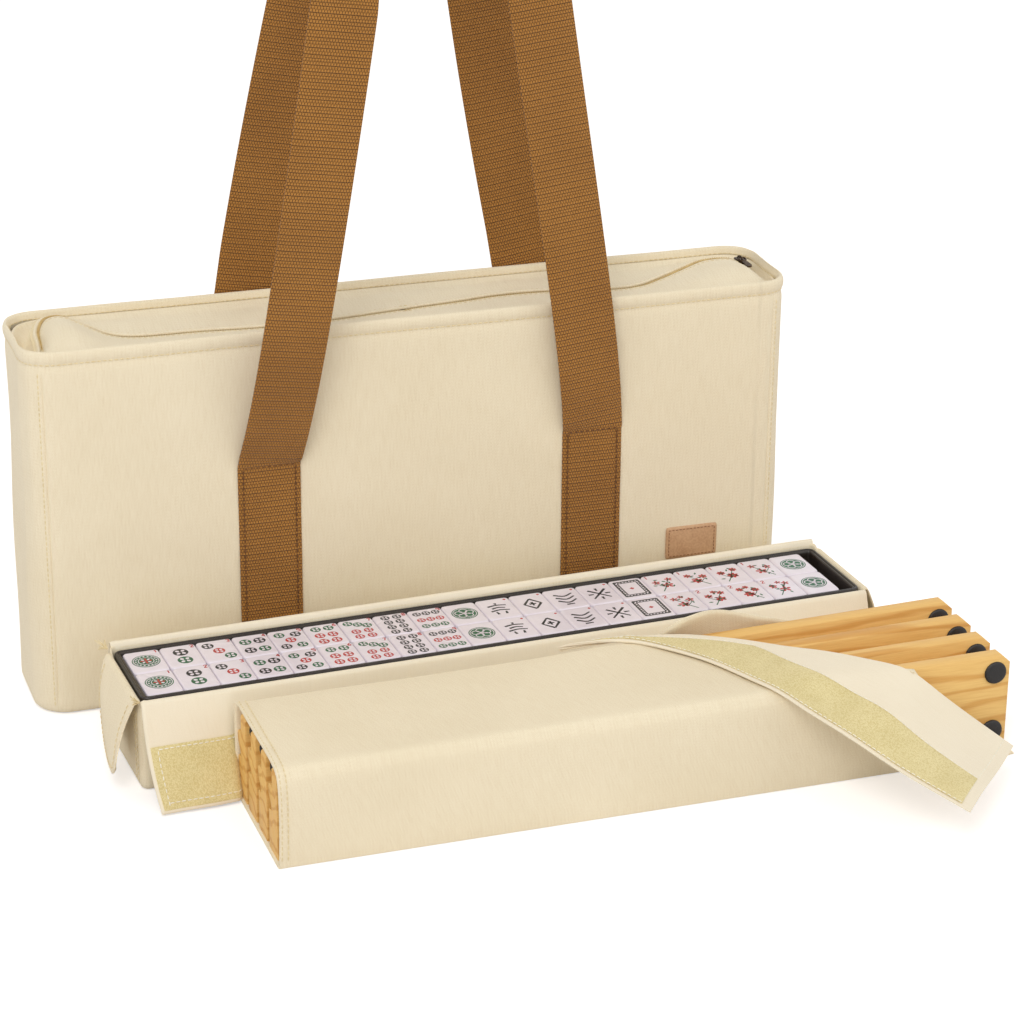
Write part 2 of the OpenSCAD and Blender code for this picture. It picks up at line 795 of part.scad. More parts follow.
// A rack's section, from its footed face to its tile side: a plate, a ledge
// half way up and a thick lower part with a groove between them.
module rack_section() {
    polygon([
        [0, 0], [rack_t, 0], [rack_t, rack_h * 0.42], [rack_t - 3, rack_h * 0.44],
        [rack_plate + 2.5, rack_h * 0.44], [rack_plate + 4, rack_h * 0.52],
        [rack_t, rack_h * 0.6], [rack_t, rack_h * 0.7],
        [rack_plate, rack_h * 0.7], [rack_plate, rack_h], [0, rack_h]
    ]);
}

module rack_outline() {
    c = rack_chamfer;
    polygon([
        [c, 0], [rack_len - c, 0], [rack_len, c], [rack_len, rack_h - c],
        [rack_len - c, rack_h], [c, rack_h], [0, rack_h - c], [0, c]
    ]);
}

// Racks count from the back of the pouch to its front.
function rack_v(k) = pouch_t + rack_clear + foot_t + (4 - k) * rack_pitch;

module at_rack(k) {
    in_pouch() translate([rack_u, rack_v(k), rack_z]) children();
}

module rack(k) {
    color(WOOD) at_rack(k) intersection() {
        rotate([90, 0, 90]) linear_extrude(rack_len) rack_section();
        translate([0, rack_t + 1, 0]) rotate([90, 0, 0])
            linear_extrude(rack_t + 2) rack_outline();
    }
}

module rack_feet(k) {
    color(RUBBER) at_rack(k)
        for (u = [foot_inset, rack_len - foot_inset], z = [foot_inset, rack_h - foot_inset])
            translate([u, 0, z]) rotate([90, 0, 0]) cylinder(d = foot_d, h = foot_t);
}

module rack_1() rack(1);
module rack_2() rack(2);
module rack_3() rack(3);
module rack_4() rack(4);
module rack_1_feet() rack_feet(1);
module rack_2_feet() rack_feet(2);
module rack_3_feet() rack_feet(3);
module rack_4_feet() rack_feet(4);

bag_base();
base_board();
front_panel();
back_panel();
left_end();
right_end();
rim_hem();
left_zip_tab();
right_zip_tab();
zip_chain_ends();
leather_patch();
front_strap_left();
front_strap_right();
back_strap_left();
back_strap_right();
front_zip_panel();
front_zip_tape();
back_zip_panel();
back_zip_tape();
zip_slider();
zip_pull();
front_handle();
back_handle();
case_base();
case_front_wall();
case_back_wall();
case_left_wall();
case_right_wall();
case_front_flap();
case_loop_band();
case_back_flap();
case_hook_band();
case_left_flap();
case_right_flap();
tray_1();
tray_2();
tray_3();
tray_4();
tiles_1();
tiles_2();
tiles_3();
tiles_front_row();
tiles_back_row();
pouch_base();
pouch_back_wall();
pouch_cover();
pouch_apron();
pouch_hook_band();
pouch_flap();
pouch_loop_band();
rack_1();
rack_2();
rack_3();
rack_4();
rack_1_feet();
rack_2_feet();
rack_3_feet();
rack_4_feet();
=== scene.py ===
"""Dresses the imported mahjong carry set: a zipped canvas tote, an open fabric case of
tiles in trays, and a fabric pouch of wooden racks with its flap peeled back."""

import json
import logging
import math
from dataclasses import dataclass
from enum import Enum
from typing import Iterable, Sequence

import bmesh
import bpy
import numpy as np
from mathutils import Matrix, Vector

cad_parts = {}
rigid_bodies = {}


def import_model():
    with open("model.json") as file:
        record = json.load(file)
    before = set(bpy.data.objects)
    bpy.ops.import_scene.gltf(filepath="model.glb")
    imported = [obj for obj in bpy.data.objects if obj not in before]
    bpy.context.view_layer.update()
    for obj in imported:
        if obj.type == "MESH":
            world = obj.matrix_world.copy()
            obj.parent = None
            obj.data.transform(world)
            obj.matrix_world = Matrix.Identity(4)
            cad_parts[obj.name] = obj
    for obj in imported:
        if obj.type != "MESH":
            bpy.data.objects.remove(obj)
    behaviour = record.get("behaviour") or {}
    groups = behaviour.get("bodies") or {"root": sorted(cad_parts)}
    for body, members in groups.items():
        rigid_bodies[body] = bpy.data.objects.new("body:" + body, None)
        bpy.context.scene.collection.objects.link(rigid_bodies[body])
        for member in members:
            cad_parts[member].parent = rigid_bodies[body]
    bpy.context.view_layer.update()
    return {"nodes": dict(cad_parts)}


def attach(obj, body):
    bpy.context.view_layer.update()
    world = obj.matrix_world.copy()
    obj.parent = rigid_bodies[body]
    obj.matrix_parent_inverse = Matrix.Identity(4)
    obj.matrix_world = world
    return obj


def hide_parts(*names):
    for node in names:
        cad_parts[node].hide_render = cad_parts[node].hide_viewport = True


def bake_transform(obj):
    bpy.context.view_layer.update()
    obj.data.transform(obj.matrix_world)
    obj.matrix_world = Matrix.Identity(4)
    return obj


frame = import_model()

LOG = logging.getLogger("carry_set")
MM = 0.001
Array = np.ndarray
Socket = bpy.types.NodeSocket


# --- placing and shaping helpers ---


def unit(v: Array) -> Array:
    """Vectors scaled to length one along the last axis."""
    v = np.asarray(v, float)
    return v / np.maximum(np.linalg.norm(v, axis=-1, keepdims=True), 1e-12)


def smooth(t: Array | float) -> Array | float:
    """The soft step 3t² − 2t³ of a share, held between 0 and 1."""
    t = np.clip(t, 0.0, 1.0)
    return t * t * (3 - 2 * t)


def spline(knots: Sequence[Sequence[float]], count: int, even: bool = True) -> Array:
    """A smooth curve through points.

    Args:
        knots: The points, of any dimension.
        count: How many points the curve gets.
        even: Whether they are spaced evenly along the curve.

    Returns:
        An array of count points.
    """
    p = np.asarray(knots, float)
    p = np.vstack([2 * p[0] - p[1], p, 2 * p[-1] - p[-2]])
    fine = []
    for k in range(1, len(p) - 2):
        a, b, c, d = p[k - 1], p[k], p[k + 1], p[k + 2]
        t = np.linspace(0, 1, 24, endpoint=k == len(p) - 3)[:, None]
        fine.append(0.5 * (2 * b + (c - a) * t + (2 * a - 5 * b + 4 * c - d) * t**2
                           + (3 * b - a - 3 * c + d) * t**3))
    fine = np.vstack(fine)
    if not even:
        at = np.linspace(0, len(fine) - 1, count)
        return np.stack([np.interp(at, np.arange(len(fine)), col) for col in fine.T], 1)
    return resample(fine, count)


def resample(line: Array, count: int) -> Array:
    """The same polyline with a count of evenly spaced points."""
    s = run_length(line)
    at = np.linspace(0, s[-1], count)
    return np.stack([np.interp(at, s, col) for col in np.asarray(line).T], 1)


def run_length(line: Array) -> Array:
    """The distance along a polyline at each of its points."""
    return np.concatenate([[0], np.cumsum(np.linalg.norm(np.diff(line, axis=0), axis=1))])


def level_line(x: Array | float, y: Array | float, z: Array | float) -> Array:
    """A line of points from its coordinates, where a bare number stands for all of them."""
    return np.column_stack(np.broadcast_arrays(x, y, z)).astype(float)


@dataclass(frozen=True)
class Place:
    """A level frame: its origin on the floor and its turn seen from above, in mm and degrees."""

    x: float
    y: float
    turn: float

    def __call__(self, p: Array) -> Array:
        """Points of this frame, in the model's frame, both in millimetres.

        Args:
            p: Points of this frame, in millimetres.

        Returns:
            The same points in the model's frame.
        """
        p = np.asarray(p, float)
        c, s = math.cos(math.radians(self.turn)), math.sin(math.radians(self.turn))
        out = p.copy()
        out[..., 0] = self.x + c * p[..., 0] - s * p[..., 1]
        out[..., 1] = self.y + s * p[..., 0] + c * p[..., 1]
        return out


HERE = Place(0, 0, 0)


def mesh_piece(name: str, points: Array, faces: Sequence[Sequence[int]], finish: "Finish",
               place: Place = HERE, uv: Array | None = None, flat: bool = False,
               slots: Sequence["Finish"] = (), slot_of: Sequence[int] | None = None,
               sharp: float = 40.0) -> bpy.types.Object:
    """Makes a mesh object from points in millimetres.

    Args:
        name: The piece's name.
        points: Its points, in the frame of place.
        faces: The point numbers of each face.
        finish: The finish of its first material slot.
        place: The frame that the points are in.
        uv: A pair of lengths along the cloth for each point, in metres.
        flat: Whether its faces are shaded flat.
        slots: Finishes of further material slots.
        slot_of: The material slot of each face.
        sharp: The angle in degrees above which an edge is shaded sharp.

    Returns:
        The object.
    """
    mesh = bpy.data.meshes.new(name)
    mesh.from_pydata((place(points) * MM).tolist(), [], [list(f) for f in faces])
    for part in (finish, *slots):
        mesh.materials.append(part.material())
    if slot_of is not None:
        mesh.polygons.foreach_set("material_index", np.asarray(slot_of, np.int32))
    if uv is not None:
        layer = mesh.uv_layers.new(name="weave")
        corner = np.zeros(len(mesh.loops), np.int32)
        mesh.loops.foreach_get("vertex_index", corner)
        layer.data.foreach_set("uv", np.asarray(uv, np.float32)[corner].ravel())
    mesh.validate()
    tidy = bmesh.new()
    tidy.from_mesh(mesh)
    bmesh.ops.recalc_face_normals(tidy, faces=tidy.faces)
    limit = math.radians(sharp)
    for face in tidy.faces:
        face.smooth = not flat
    for edge in tidy.edges:
        if len(edge.link_faces) == 2 and edge.calc_face_angle(0) > limit:
            edge.smooth = False
    tidy.to_mesh(mesh)
    tidy.free()
    piece = bpy.data.objects.new(name, mesh)
    bpy.context.scene.collection.objects.link(piece)
    return piece


def grid_faces(rows: int, cols: int, round_rows: bool = False, round_cols: bool = False,
               start: int = 0, flip: bool = False) -> list[tuple[int, ...]]:
    """The quads of a grid of points.

    Args:
        rows: Rows of points.
        cols: Points in each row.
        round_rows: Whether the last row joins the first.
        round_cols: Whether each row's last point joins its first.
        start: The number of the first point.
        flip: Whether the quads turn the other way.

    Returns:
        Four point numbers for each quad.
    """
    out = []
    for i in range(rows if round_rows else rows - 1):
        for j in range(cols if round_cols else cols - 1):
            a, b = i * cols + j, i * cols + (j + 1) % cols
            c, d = ((i + 1) % rows) * cols + (j + 1) % cols, ((i + 1) % rows) * cols + j
            quad = (a + start, b + start, c + start, d + start)
            out.append(quad[::-1] if flip else quad)
    return out


def grid_normals(grid: Array) -> Array:
    """The unit normals of a grid of points."""
    du, dv = np.gradient(grid, axis=0), np.gradient(grid, axis=1)
    return unit(np.cross(du, dv))


def cloth_piece(name: str, grid: Array, thick: float, finish: "Finish", place: Place = HERE,
                uv: Array | None = None, hem: float = 0.0, hem_in: float = 5.0,
                hem_sides: str = "") -> bpy.types.Object:
    """A sheet of cloth with real thickness and rounded edges.

    Args:
        name: The piece's name.
        grid: Points of its middle surface, rows by columns by three, in millimetres.
        thick: The cloth's thickness.
        finish: Its finish.
        place: The frame that the points are in.
        uv: Lengths along the cloth at each point, in metres, or None to measure them.
        hem: How much thicker the folded hem is on each face.
        hem_in: The width of the hem.
        hem_sides: Which edges have a hem: any of a (first row), b (last row),
            c (first column) and d (last column).

    Returns:
        The object.
    """
    rows, cols = grid.shape[:2]
    if uv is None:
        uv = measured_uv(grid)
    normal = grid_normals(grid)
    along, across = uv[..., 0] / MM, uv[..., 1] / MM
    edge = np.full((rows, cols), 1e6)
    near = {"a": across - across[0], "b": across[-1] - across,
            "c": along - along[:, :1], "d": along[:, -1:] - along}
    for side in hem_sides:
        edge = np.minimum(edge, np.abs(near[side]))
    half = thick / 2 + hem * smooth((hem_in - edge) / 1.2)
    all_edges = np.minimum.reduce([np.abs(v) for v in near.values()])
    half = half * np.sqrt(np.clip(all_edges / (thick * 0.6), 0.12, 1))
    top = grid + normal * half[..., None]
    low = grid - normal * half[..., None]
    count = rows * cols
    faces = grid_faces(rows, cols) + grid_faces(rows, cols, start=count, flip=True)
    ring = ([(0, j) for j in range(cols)] + [(i, cols - 1) for i in range(1, rows)]
            + [(rows - 1, j) for j in range(cols - 2, -1, -1)]
            + [(i, 0) for i in range(rows - 2, 0, -1)])
    number = [i * cols + j for i, j in ring]
    for a, b in zip(number, number[1:] + number[:1]):
        faces.append((a, a + count, b + count, b))
    points = np.vstack([top.reshape(-1, 3), low.reshape(-1, 3)])
    both = np.vstack([uv.reshape(-1, 2)] * 2)
    return mesh_piece(name, points, faces, finish, place, both, sharp=75)


def measured_uv(grid: Array) -> Array:
    """Lengths along and across a grid of points in millimetres, in metres.

    Args:
        grid: Rows of points in millimetres.

    Returns:
        A pair for each point, in metres.
    """
    du = np.linalg.norm(np.diff(grid, axis=1), axis=2)
    dv = np.linalg.norm(np.diff(grid, axis=0), axis=2)
    u = np.concatenate([np.zeros((len(grid), 1)), np.cumsum(du, 1)], 1)
    u -= u.mean(1, keepdims=True)
    v = np.concatenate([np.zeros((1, grid.shape[1])), np.cumsum(dv, 0)], 0)
    v = np.repeat(v.mean(1, keepdims=True), grid.shape[1], 1)
    return np.stack([u, v], -1) * MM


def stitch_piece(name: str, runs: Iterable[tuple[Array, Array]], finish: "Finish",
                 place: Place = HERE, pitch: float = 3.4, length: float = 2.5,
                 radius: float = 0.34, lift: float = 0.12) -> bpy.types.Object:
    """A row of separate sewn stitches, as one mesh.

    Args:
        name: The piece's name.
        runs: Pairs of a polyline and the cloth's normals along it, in millimetres.
        finish: The thread's finish.
        place: The frame that the lines are in.
        pitch: Distance from stitch to stitch.
        length: Length of a stitch.
        radius: Radius of the thread.
        lift: How far a stitch stands above the cloth at its middle.

    Returns:
        The object.
    """
    points, faces = [], []
    steps = [(-0.5, 0.45, -0.7), (-0.34, 1.0, 0.2), (0.0, 1.1, 1.0), (0.34, 1.0, 0.2), (0.5, 0.45, -0.7)]
    sides = 6
    for line, normal in runs:
        line, normal = np.asarray(line, float), np.asarray(normal, float)
        s = run_length(line)
        number = max(1, int(s[-1] / pitch))
        for k in range(number):
            mid = (k + 0.5) * s[-1] / number
            ends = np.stack([[np.interp(mid + length * f, s, line[:, c]) for c in range(3)]
                             for f, _, _ in steps])
            up = unit(np.array([np.interp(mid, s, normal[:, c]) for c in range(3)]))
            ahead = unit(ends[-1] - ends[0])
            side = unit(np.cross(up, ahead))
            base = len(points)
            for p, (_, fat, rise) in zip(ends, steps):
                for q in range(sides):
                    a = 2 * math.pi * q / sides
                    points.append(p + up * (lift * rise + radius * fat * 0.8 * math.sin(a))
                                  + side * radius * fat * math.cos(a))
            faces += grid_faces(len(steps), sides, round_cols=True, start=base)
            faces.append(tuple(base + q for q in range(sides)))
            faces.append(tuple(base + (len(steps) - 1) * sides + q for q in range(sides)))
    return mesh_piece(name, np.array(points), faces, finish, place)


def prism(outline: Array, low: float, high: float) -> tuple[Array, list[tuple[int, ...]]]:
    """A closed upright prism.

    Args:
        outline: Its corners seen from above, in order.
        low: Height of its lower face.
        high: Height of its upper face.

    Returns:
        Its points and faces.
    """
    outline = np.asarray(outline, float)
    n = len(outline)
    points = np.vstack([np.column_stack([outline, np.full(n, low)]),
                        np.column_stack([outline, np.full(n, high)])])
    faces = [tuple(range(n - 1, -1, -1)), tuple(range(n, 2 * n))]
    faces += [(i, (i + 1) % n, n + (i + 1) % n, n + i) for i in range(n)]
    return points, faces


def lathe(profile: Sequence[tuple[float, float]], centre: Array, axis: Array,
          sides: int = 32) -> tuple[Array, list[tuple[int, ...]]]:
    """A closed turned shape.

    Args:
        profile: Pairs of distance along the axis and radius, from end to end.
        centre: The point on the axis where the distance is 0.
        axis: The axis's direction.
        sides: Points round the axis.

    Returns:
        Its points and faces.
    """
    axis = unit(axis)
    side = unit(np.cross(axis, [0.3, 0.2, 1.0] if abs(axis[2]) < 0.9 else [1.0, 0, 0]))
    up = np.cross(axis, side)
    turn = np.arange(sides) * 2 * math.pi / sides
    points = np.vstack([centre + axis * d + r * (np.outer(np.cos(turn), side) + np.outer(np.sin(turn), up))
                        for d, r in profile])
    faces = grid_faces(len(profile), sides, round_cols=True)
    faces.append(tuple(range(sides)))
    faces.append(tuple((len(profile) - 1) * sides + q for q in range(sides)))
    return points, faces


class Heap:
    """Gathers closed shapes into one mesh."""

    def __init__(self) -> None:
        """Starts empty."""
        self.points: list[Array] = []
        self.faces: list[tuple[int, ...]] = []
        self.slots: list[int] = []
        self.count = 0

    def add(self, shape: tuple[Array, list[tuple[int, ...]]], slot: int = 0) -> None:
        """Adds points and faces, with the material slot that they get.

        Args:
            shape: Points and faces of a closed shape.
            slot: The material slot of its faces.
        """
        points, faces = shape
        self.points.append(np.asarray(points, float))
        self.faces += [tuple(i + self.count for i in f) for f in faces]
        self.slots += [slot] * len(faces)
        self.count += len(points)

    def piece(self, name: str, finish: "Finish", place: Place = HERE,
              slots: Sequence["Finish"] = (), sharp: float = 35.0) -> bpy.types.Object:
        """Makes the object of everything that was added."""
        return mesh_piece(name, np.vstack(self.points), self.faces, finish, place,
                          slots=slots, slot_of=self.slots, sharp=sharp)


def tube(line: Array, radius: float, sides: int = 8,
         closed: bool = False) -> tuple[Array, list[tuple[int, ...]]]:
    """A round bar along a polyline.

    Args:
        line: Its centre line.
        radius: Its radius.
        sides: Points round it.
        closed: Whether its end joins its start.

    Returns:
        Its points and faces.
    """
    line = np.asarray(line, float)
    if closed:
        ahead = unit(np.roll(line, -1, 0) - np.roll(line, 1, 0))
    else:
        ahead = unit(np.gradient(line, axis=0))
    side = np.cross(ahead[0], [0.1, 0.3, 1.0])
    if np.linalg.norm(side) < 0.2:
        side = np.cross(ahead[0], [1.0, 0.2, 0.1])
    turn = np.arange(sides) * 2 * math.pi / sides
    points = []
    for p, t in zip(line, ahead):
        side = unit(side - t * float(side @ t))
        up = np.cross(t, side)
        points.append(p + radius * (np.outer(np.cos(turn), side) + np.outer(np.sin(turn), up)))
    faces = grid_faces(len(line), sides, round_rows=closed, round_cols=True)
    if not closed:
        faces.append(tuple(range(sides)))
        faces.append(tuple((len(line) - 1) * sides + q for q in range(sides)))
    return np.vstack(points), faces


# --- finishes ---


class Graph:
    """Builds the nodes of one material."""

    def __init__(self, name: str) -> None:
        """Starts a material with a Principled shader."""
        self.mat = bpy.data.materials.new(name)
        self.mat.use_nodes = True
        self.tree = self.mat.node_tree
        self.shader = self.tree.nodes["Principled BSDF"]

    def node(self, kind: str, inputs: dict[str | int, object] | None = None,
             **values: object) -> bpy.types.Node:
        """Adds a node.

        Args:
            kind: The node's type, without the ShaderNode prefix.
            inputs: What its sockets hold, or the sockets that feed them.
            values: Its properties.

        Returns:
            The node.
        """
        made = self.tree.nodes.new("ShaderNode" + kind)
        for key, value in values.items():
            setattr(made, key, value)
        for key, value in (inputs or {}).items():
            self.put(made.inputs[key], value)
        return made

    def put(self, socket: Socket, value: object) -> None:
        """Links a socket, or sets what it holds.

        Args:
            socket: The socket to fill.
            value: A value, or a socket to link from.
        """
        if isinstance(value, bpy.types.NodeSocket):
            self.tree.links.new(value, socket)
        else:
            socket.default_value = value

    def math(self, kind: str, a: object, b: object = 0.0) -> Socket:
        """The result of a Math node.

        Args:
            kind: The operation.
            a: The first value or the socket that feeds it.
            b: The second one.

        Returns:
            The node's output socket.
        """
        return self.node("Math", {0: a, 1: b}, operation=kind).outputs[0]

    def noise(self, scale: float, where: Socket | None = None, detail: float = 2.0,
              rough: float = 0.5) -> Socket:
        """A noise in object space, or at another place.

        Args:
            scale: The noise's scale.
            where: The socket that places it, or None for the object's own space.
            detail: Its octaves.
            rough: Their roughness.

        Returns:
            The socket of its factor.
        """
        where = where or self.node("TexCoord").outputs["Object"]
        return self.node("TexNoise", {"Vector": where, "Scale": scale, "Detail": detail,
                                      "Roughness": rough}).outputs["Fac"]

    def stretched(self, scale: Sequence[float], uv: bool = False, turn: float = 0.0) -> Socket:
        """Object or cloth coordinates, scaled on each axis.

        Args:
            scale: The scale on each axis.
            uv: Whether the cloth's own coordinates are taken.
            turn: A turn about the third axis, in degrees.

        Returns:
            The socket of the coordinates.
        """
        if uv:
            where = self.node("UVMap", uv_map="weave").outputs[0]
        else:
            where = self.node("TexCoord").outputs["Object"]
        return self.node("Mapping", {"Vector": where, "Scale": tuple(scale),
                                     "Rotation": (0, 0, math.radians(turn))}).outputs[0]

    def ramp(self, fac: Socket, stops: Sequence[tuple[float, Sequence[float]]]) -> Socket:
        """A colour ramp through stops of place and colour.

        Args:
            fac: The socket of the factor.
            stops: Pairs of place and colour.

        Returns:
            The socket of the colour.
        """
        made = self.node("ValToRGB", {0: fac})
        ramp = made.color_ramp
        while len(ramp.elements) < len(stops):
            ramp.elements.new(0.5)
        for element, (at, colour) in zip(ramp.elements, stops):
            element.position = at
            element.color = (*colour[:3], 1)
        return made.outputs[0]

    def blend(self, fac: object, a: object, b: object, kind: str = "MIX") -> Socket:
        """Two colours mixed by a factor.

        Args:
            fac: The factor, or the socket that feeds it.
            a: The first colour or its socket.
            b: The second one.
            kind: The way of mixing.

        Returns:
            The socket of the mixed colour.
        """
        made = self.node("Mix", {"Factor": fac}, data_type="RGBA", blend_type=kind)
        self.put(made.inputs[6], a)
        self.put(made.inputs[7], b)
        return made.outputs[2]

    def bump(self, height: Socket, strength: float, distance: float) -> None:
        """Raises the surface by a height of 0 to 1, times a distance in metres.

        Args:
            height: The socket of the height.
            strength: The strength of the bump, 0 to 1.
            distance: The distance of a height of 1, in metres.
        """
        made = self.node("Bump", {"Height": height, "Strength": strength, "Distance": distance})
        self.put(self.shader.inputs["Normal"], made.outputs[0])

    def set(self, **values: object) -> None:
        """Sets shader sockets by name, with _ for a space."""
        for key, value in values.items():
            self.put(self.shader.inputs[key.replace("_", " ")], value)


def linear(rgb: Sequence[float]) -> tuple[float, float, float, float]:
    """A colour of 0 to 255 as linear light."""
    c = [v / 255 for v in rgb]
    return (*[v / 12.92 if v <= 0.04045 else ((v + 0.055) / 1.055) ** 2.4 for v in c], 1.0)


class Finish:
    """A finish that makes its material once."""

    made: dict[str, bpy.types.Material] = {}

    def material(self) -> bpy.types.Material:
        """The finish's material."""
        key = repr(self)
        if key not in Finish.made:
            Finish.made[key] = self.build()
        return Finish.made[key]

    def build(self) -> bpy.types.Material:
        """Makes the material."""
        raise NotImplementedError


@dataclass(frozen=True)
class Weave(Finish):
    """Plain woven cloth: fine ribs of thread with painted shade in the hollows between them, soft blotches
    and a little fuzz.
    """

    name: str
    colour: tuple[int, int, int]
    # The darker colour: painted shade in the weave's hollows, mixed with real thread tone.
    shade: tuple[int, int, int]
    thread: float = 0.75
    depth: float = 0.10
    rough: float = 0.92
    sheen: float = 0.12
    rib: float = 1.0
    turn: float = 0.0

    def build(self) -> bpy.types.Material:
        """Crossed threads on the cloth's own coordinates, over mottled cotton; the shade colour is painted
        shade where the threads dip, mixed with real thread tone.

        Returns:
            The material.
        """
        g = Graph(self.name)
        turns = 1000 / self.thread
        where = g.stretched((turns * self.rib, turns, 1), uv=True, turn=self.turn)
        wave = {"Vector": where, "Scale": 0.5, "Distortion": 0.6, "Detail": 1.0, "Detail Scale": 0.35}
        warp = g.node("TexWave", wave, bands_direction="X").outputs["Fac"]
        weft = g.node("TexWave", wave, bands_direction="Y").outputs["Fac"]
        checks = g.node("TexChecker", {"Vector": where, "Scale": 1.0}).outputs["Fac"]
        cross = g.node("Mix", {0: checks, 2: warp, 3: weft}, data_type="FLOAT").outputs[0]
        slub = g.noise(1.0, g.stretched((900, 70, 1), uv=True), 2.0)
        cloud = g.noise(14, detail=3.0)
        fleck = g.noise(1500, detail=1.0)
        # Tone falls to the shade colour where the crossed threads dip (painted shade in the hollows), plus
        # real tone from slubs and flecks.
        tone = g.math("ADD", g.math("MULTIPLY", cross, 0.42),
                      g.math("ADD", g.math("MULTIPLY", slub, 0.34), g.math("MULTIPLY", fleck, 0.26)))
        base = g.ramp(tone, [(0.2, linear(self.shade)), (0.62, linear(self.colour))])
        tint = g.ramp(cloud, [(0.3, (0.955, 0.945, 0.925)), (0.7, (1, 1, 1))])
        colour = g.blend(1.0, base, tint, "MULTIPLY")
        height = g.math("ADD", g.math("MULTIPLY", cross, 0.7), g.math("MULTIPLY", slub, 0.5))
        g.bump(height, 0.55, self.depth * MM)
        rough = g.math("ADD", g.math("MULTIPLY", fleck, 0.1), self.rough - 0.06)
        g.set(Base_Color=colour, Roughness=rough, Sheen_Weight=self.sheen, Sheen_Roughness=0.5,
              Specular_IOR_Level=0.22)
        return g.mat


@dataclass(frozen=True)
class Webbing(Finish):
    """Coarse woven strap: rows of slanted nubs, with painted shade in the gaps between them."""

    name: str = "strap_webbing"
    colour: tuple[int, int, int] = (184, 128, 58)
    # The gap colour is painted shade in the hollows between the nubs.
    gap: tuple[int, int, int] = (84, 48, 12)
    row: float = 2.0
    column: float = 1.7

    def build(self) -> bpy.types.Material:
        """Staggered nubs on the strap's own coordinates, with painted shade in the gaps and along the row
        troughs.

        Returns:
            The material.
        """
        g = Graph(self.name)
        where = g.stretched((1000 / self.column, 1000 / self.row, 1), uv=True)
        nubs = g.node("TexBrick", {"Vector": where, "Scale": 1.0, "Mortar Size": 0.27, "Mortar Smooth": 1.0,
                                   "Brick Width": 1.0, "Row Height": 1.0, "Bias": 0.0,
                                   "Color1": (1, 1, 1, 1), "Color2": (0.8, 0.8, 0.8, 1),
                                   "Mortar": (0, 0, 0, 1)}, offset=0.5)
        nub = g.math("SUBTRACT", 1.0, nubs.outputs["Fac"])
        row = g.node("TexWave", {"Vector": where, "Scale": 0.5, "Distortion": 0.0},
                     bands_direction="Y").outputs["Fac"]
        fuzz = g.noise(2200, detail=1.0)
        cloud = g.noise(22, detail=3.0)
        # Tone falls to the gap colour between nubs and along the row troughs, which is painted shade in the
        # recesses; the fuzz is real random tone.
        tone = g.math("ADD", g.math("MULTIPLY", nub, 0.75),
                      g.math("ADD", g.math("MULTIPLY", row, 0.2), g.math("MULTIPLY", fuzz, 0.3)))
        base = g.ramp(tone, [(0.12, linear(self.gap)), (0.75, linear(self.colour))])
        tint = g.ramp(cloud, [(0.3, (0.86, 0.84, 0.82)), (0.7, (1, 1, 1))])
        g.bump(g.math("ADD", g.math("MULTIPLY", nub, 0.7), g.math("MULTIPLY", row, 0.3)), 0.9, 0.7 * MM)
        g.set(Base_Color=g.blend(1.0, base, tint, "MULTIPLY"), Roughness=0.8,
              Sheen_Weight=0.15, Specular_IOR_Level=0.25)
        return g.mat


@dataclass(frozen=True)
class Fleece(Finish):
    """The looped side of a fastening band, with painted shade between the loops."""

    name: str = "fastening_loops"
    colour: tuple[int, int, int] = (240, 227, 178)
    # The gap colour is painted shade in the hollows between the loops.
    gap: tuple[int, int, int] = (218, 201, 144)

    def build(self) -> bpy.types.Material:
        """Short loops in rough rows, darker between them as painted shade.

        Returns:
            The material.
        """
        g = Graph(self.name)
        where = g.stretched((1500, 1100, 1), uv=True)
        loops = g.node("TexVoronoi", {"Vector": where, "Scale": 1.0}).outputs["Distance"]
        cloud = g.noise(60, detail=3.0)
        # Colour darkens away from each loop's middle, where the bump sinks: painted shade between the loops.
        base = g.ramp(loops, [(0.1, linear(self.colour)), (0.75, linear(self.gap))])
        tint = g.ramp(cloud, [(0.3, (0.92, 0.91, 0.86)), (0.7, (1, 1, 1))])
        g.bump(g.math("SUBTRACT", 1.0, loops), 0.5, 0.25 * MM)
        g.set(Base_Color=g.blend(1.0, base, tint, "MULTIPLY"), Roughness=0.95, Sheen_Weight=0.3,
              Specular_IOR_Level=0.2)
        return g.mat


@dataclass(frozen=True)
class Pine(Finish):
    """Sanded pale pine with grain along the rack."""

    name: str = "rack_pine"
    early: tuple[int, int, int] = (240, 198, 122)
    late: tuple[int, int, int] = (222, 170, 92)

    def build(self) -> bpy.types.Material:
        """Long wavering growth rings, fine fibres and a satin face.

        Returns:
            The material.
        """
        g = Graph(self.name)
        drift = g.noise(1.0, g.stretched((5, 40, 40)), 3.0)
        where = g.node("VectorMath", {0: g.stretched((1.5, 34, 34)),
                                      1: g.node("CombineXYZ", {0: 0.0, 1: drift, 2: drift}).outputs[0]},
                       operation="ADD").outputs[0]
        rings = g.node("TexWave", {"Vector": where, "Scale": 0.9, "Distortion": 4.0, "Detail": 3.0,
                                   "Detail Scale": 1.1}, bands_direction="Z").outputs["Fac"]
        fibre = g.noise(1.0, g.stretched((60, 1400, 1400)), 2.0)
        early, late = linear(self.early), linear(self.late)
        base = g.ramp(rings, [(0.1, early), (0.72, early), (0.97, late)])
        tint = g.ramp(fibre, [(0.3, (0.93, 0.88, 0.8)), (0.65, (1, 1, 1))])
        streak = g.noise(1.0, g.stretched((3, 22, 22)), 2.0)
        broad = g.ramp(streak, [(0.3, (0.95, 0.9, 0.82)), (0.7, (1, 1, 1))])
        colour = g.blend(1.0, g.blend(1.0, base, tint, "MULTIPLY"), broad, "MULTIPLY")
        g.bump(fibre, 0.25, 0.08 * MM)
        g.set(Base_Color=colour, Roughness=g.math("ADD", g.math("MULTIPLY", fibre, 0.12), 0.42),
              Specular_IOR_Level=0.4)
        return g.mat


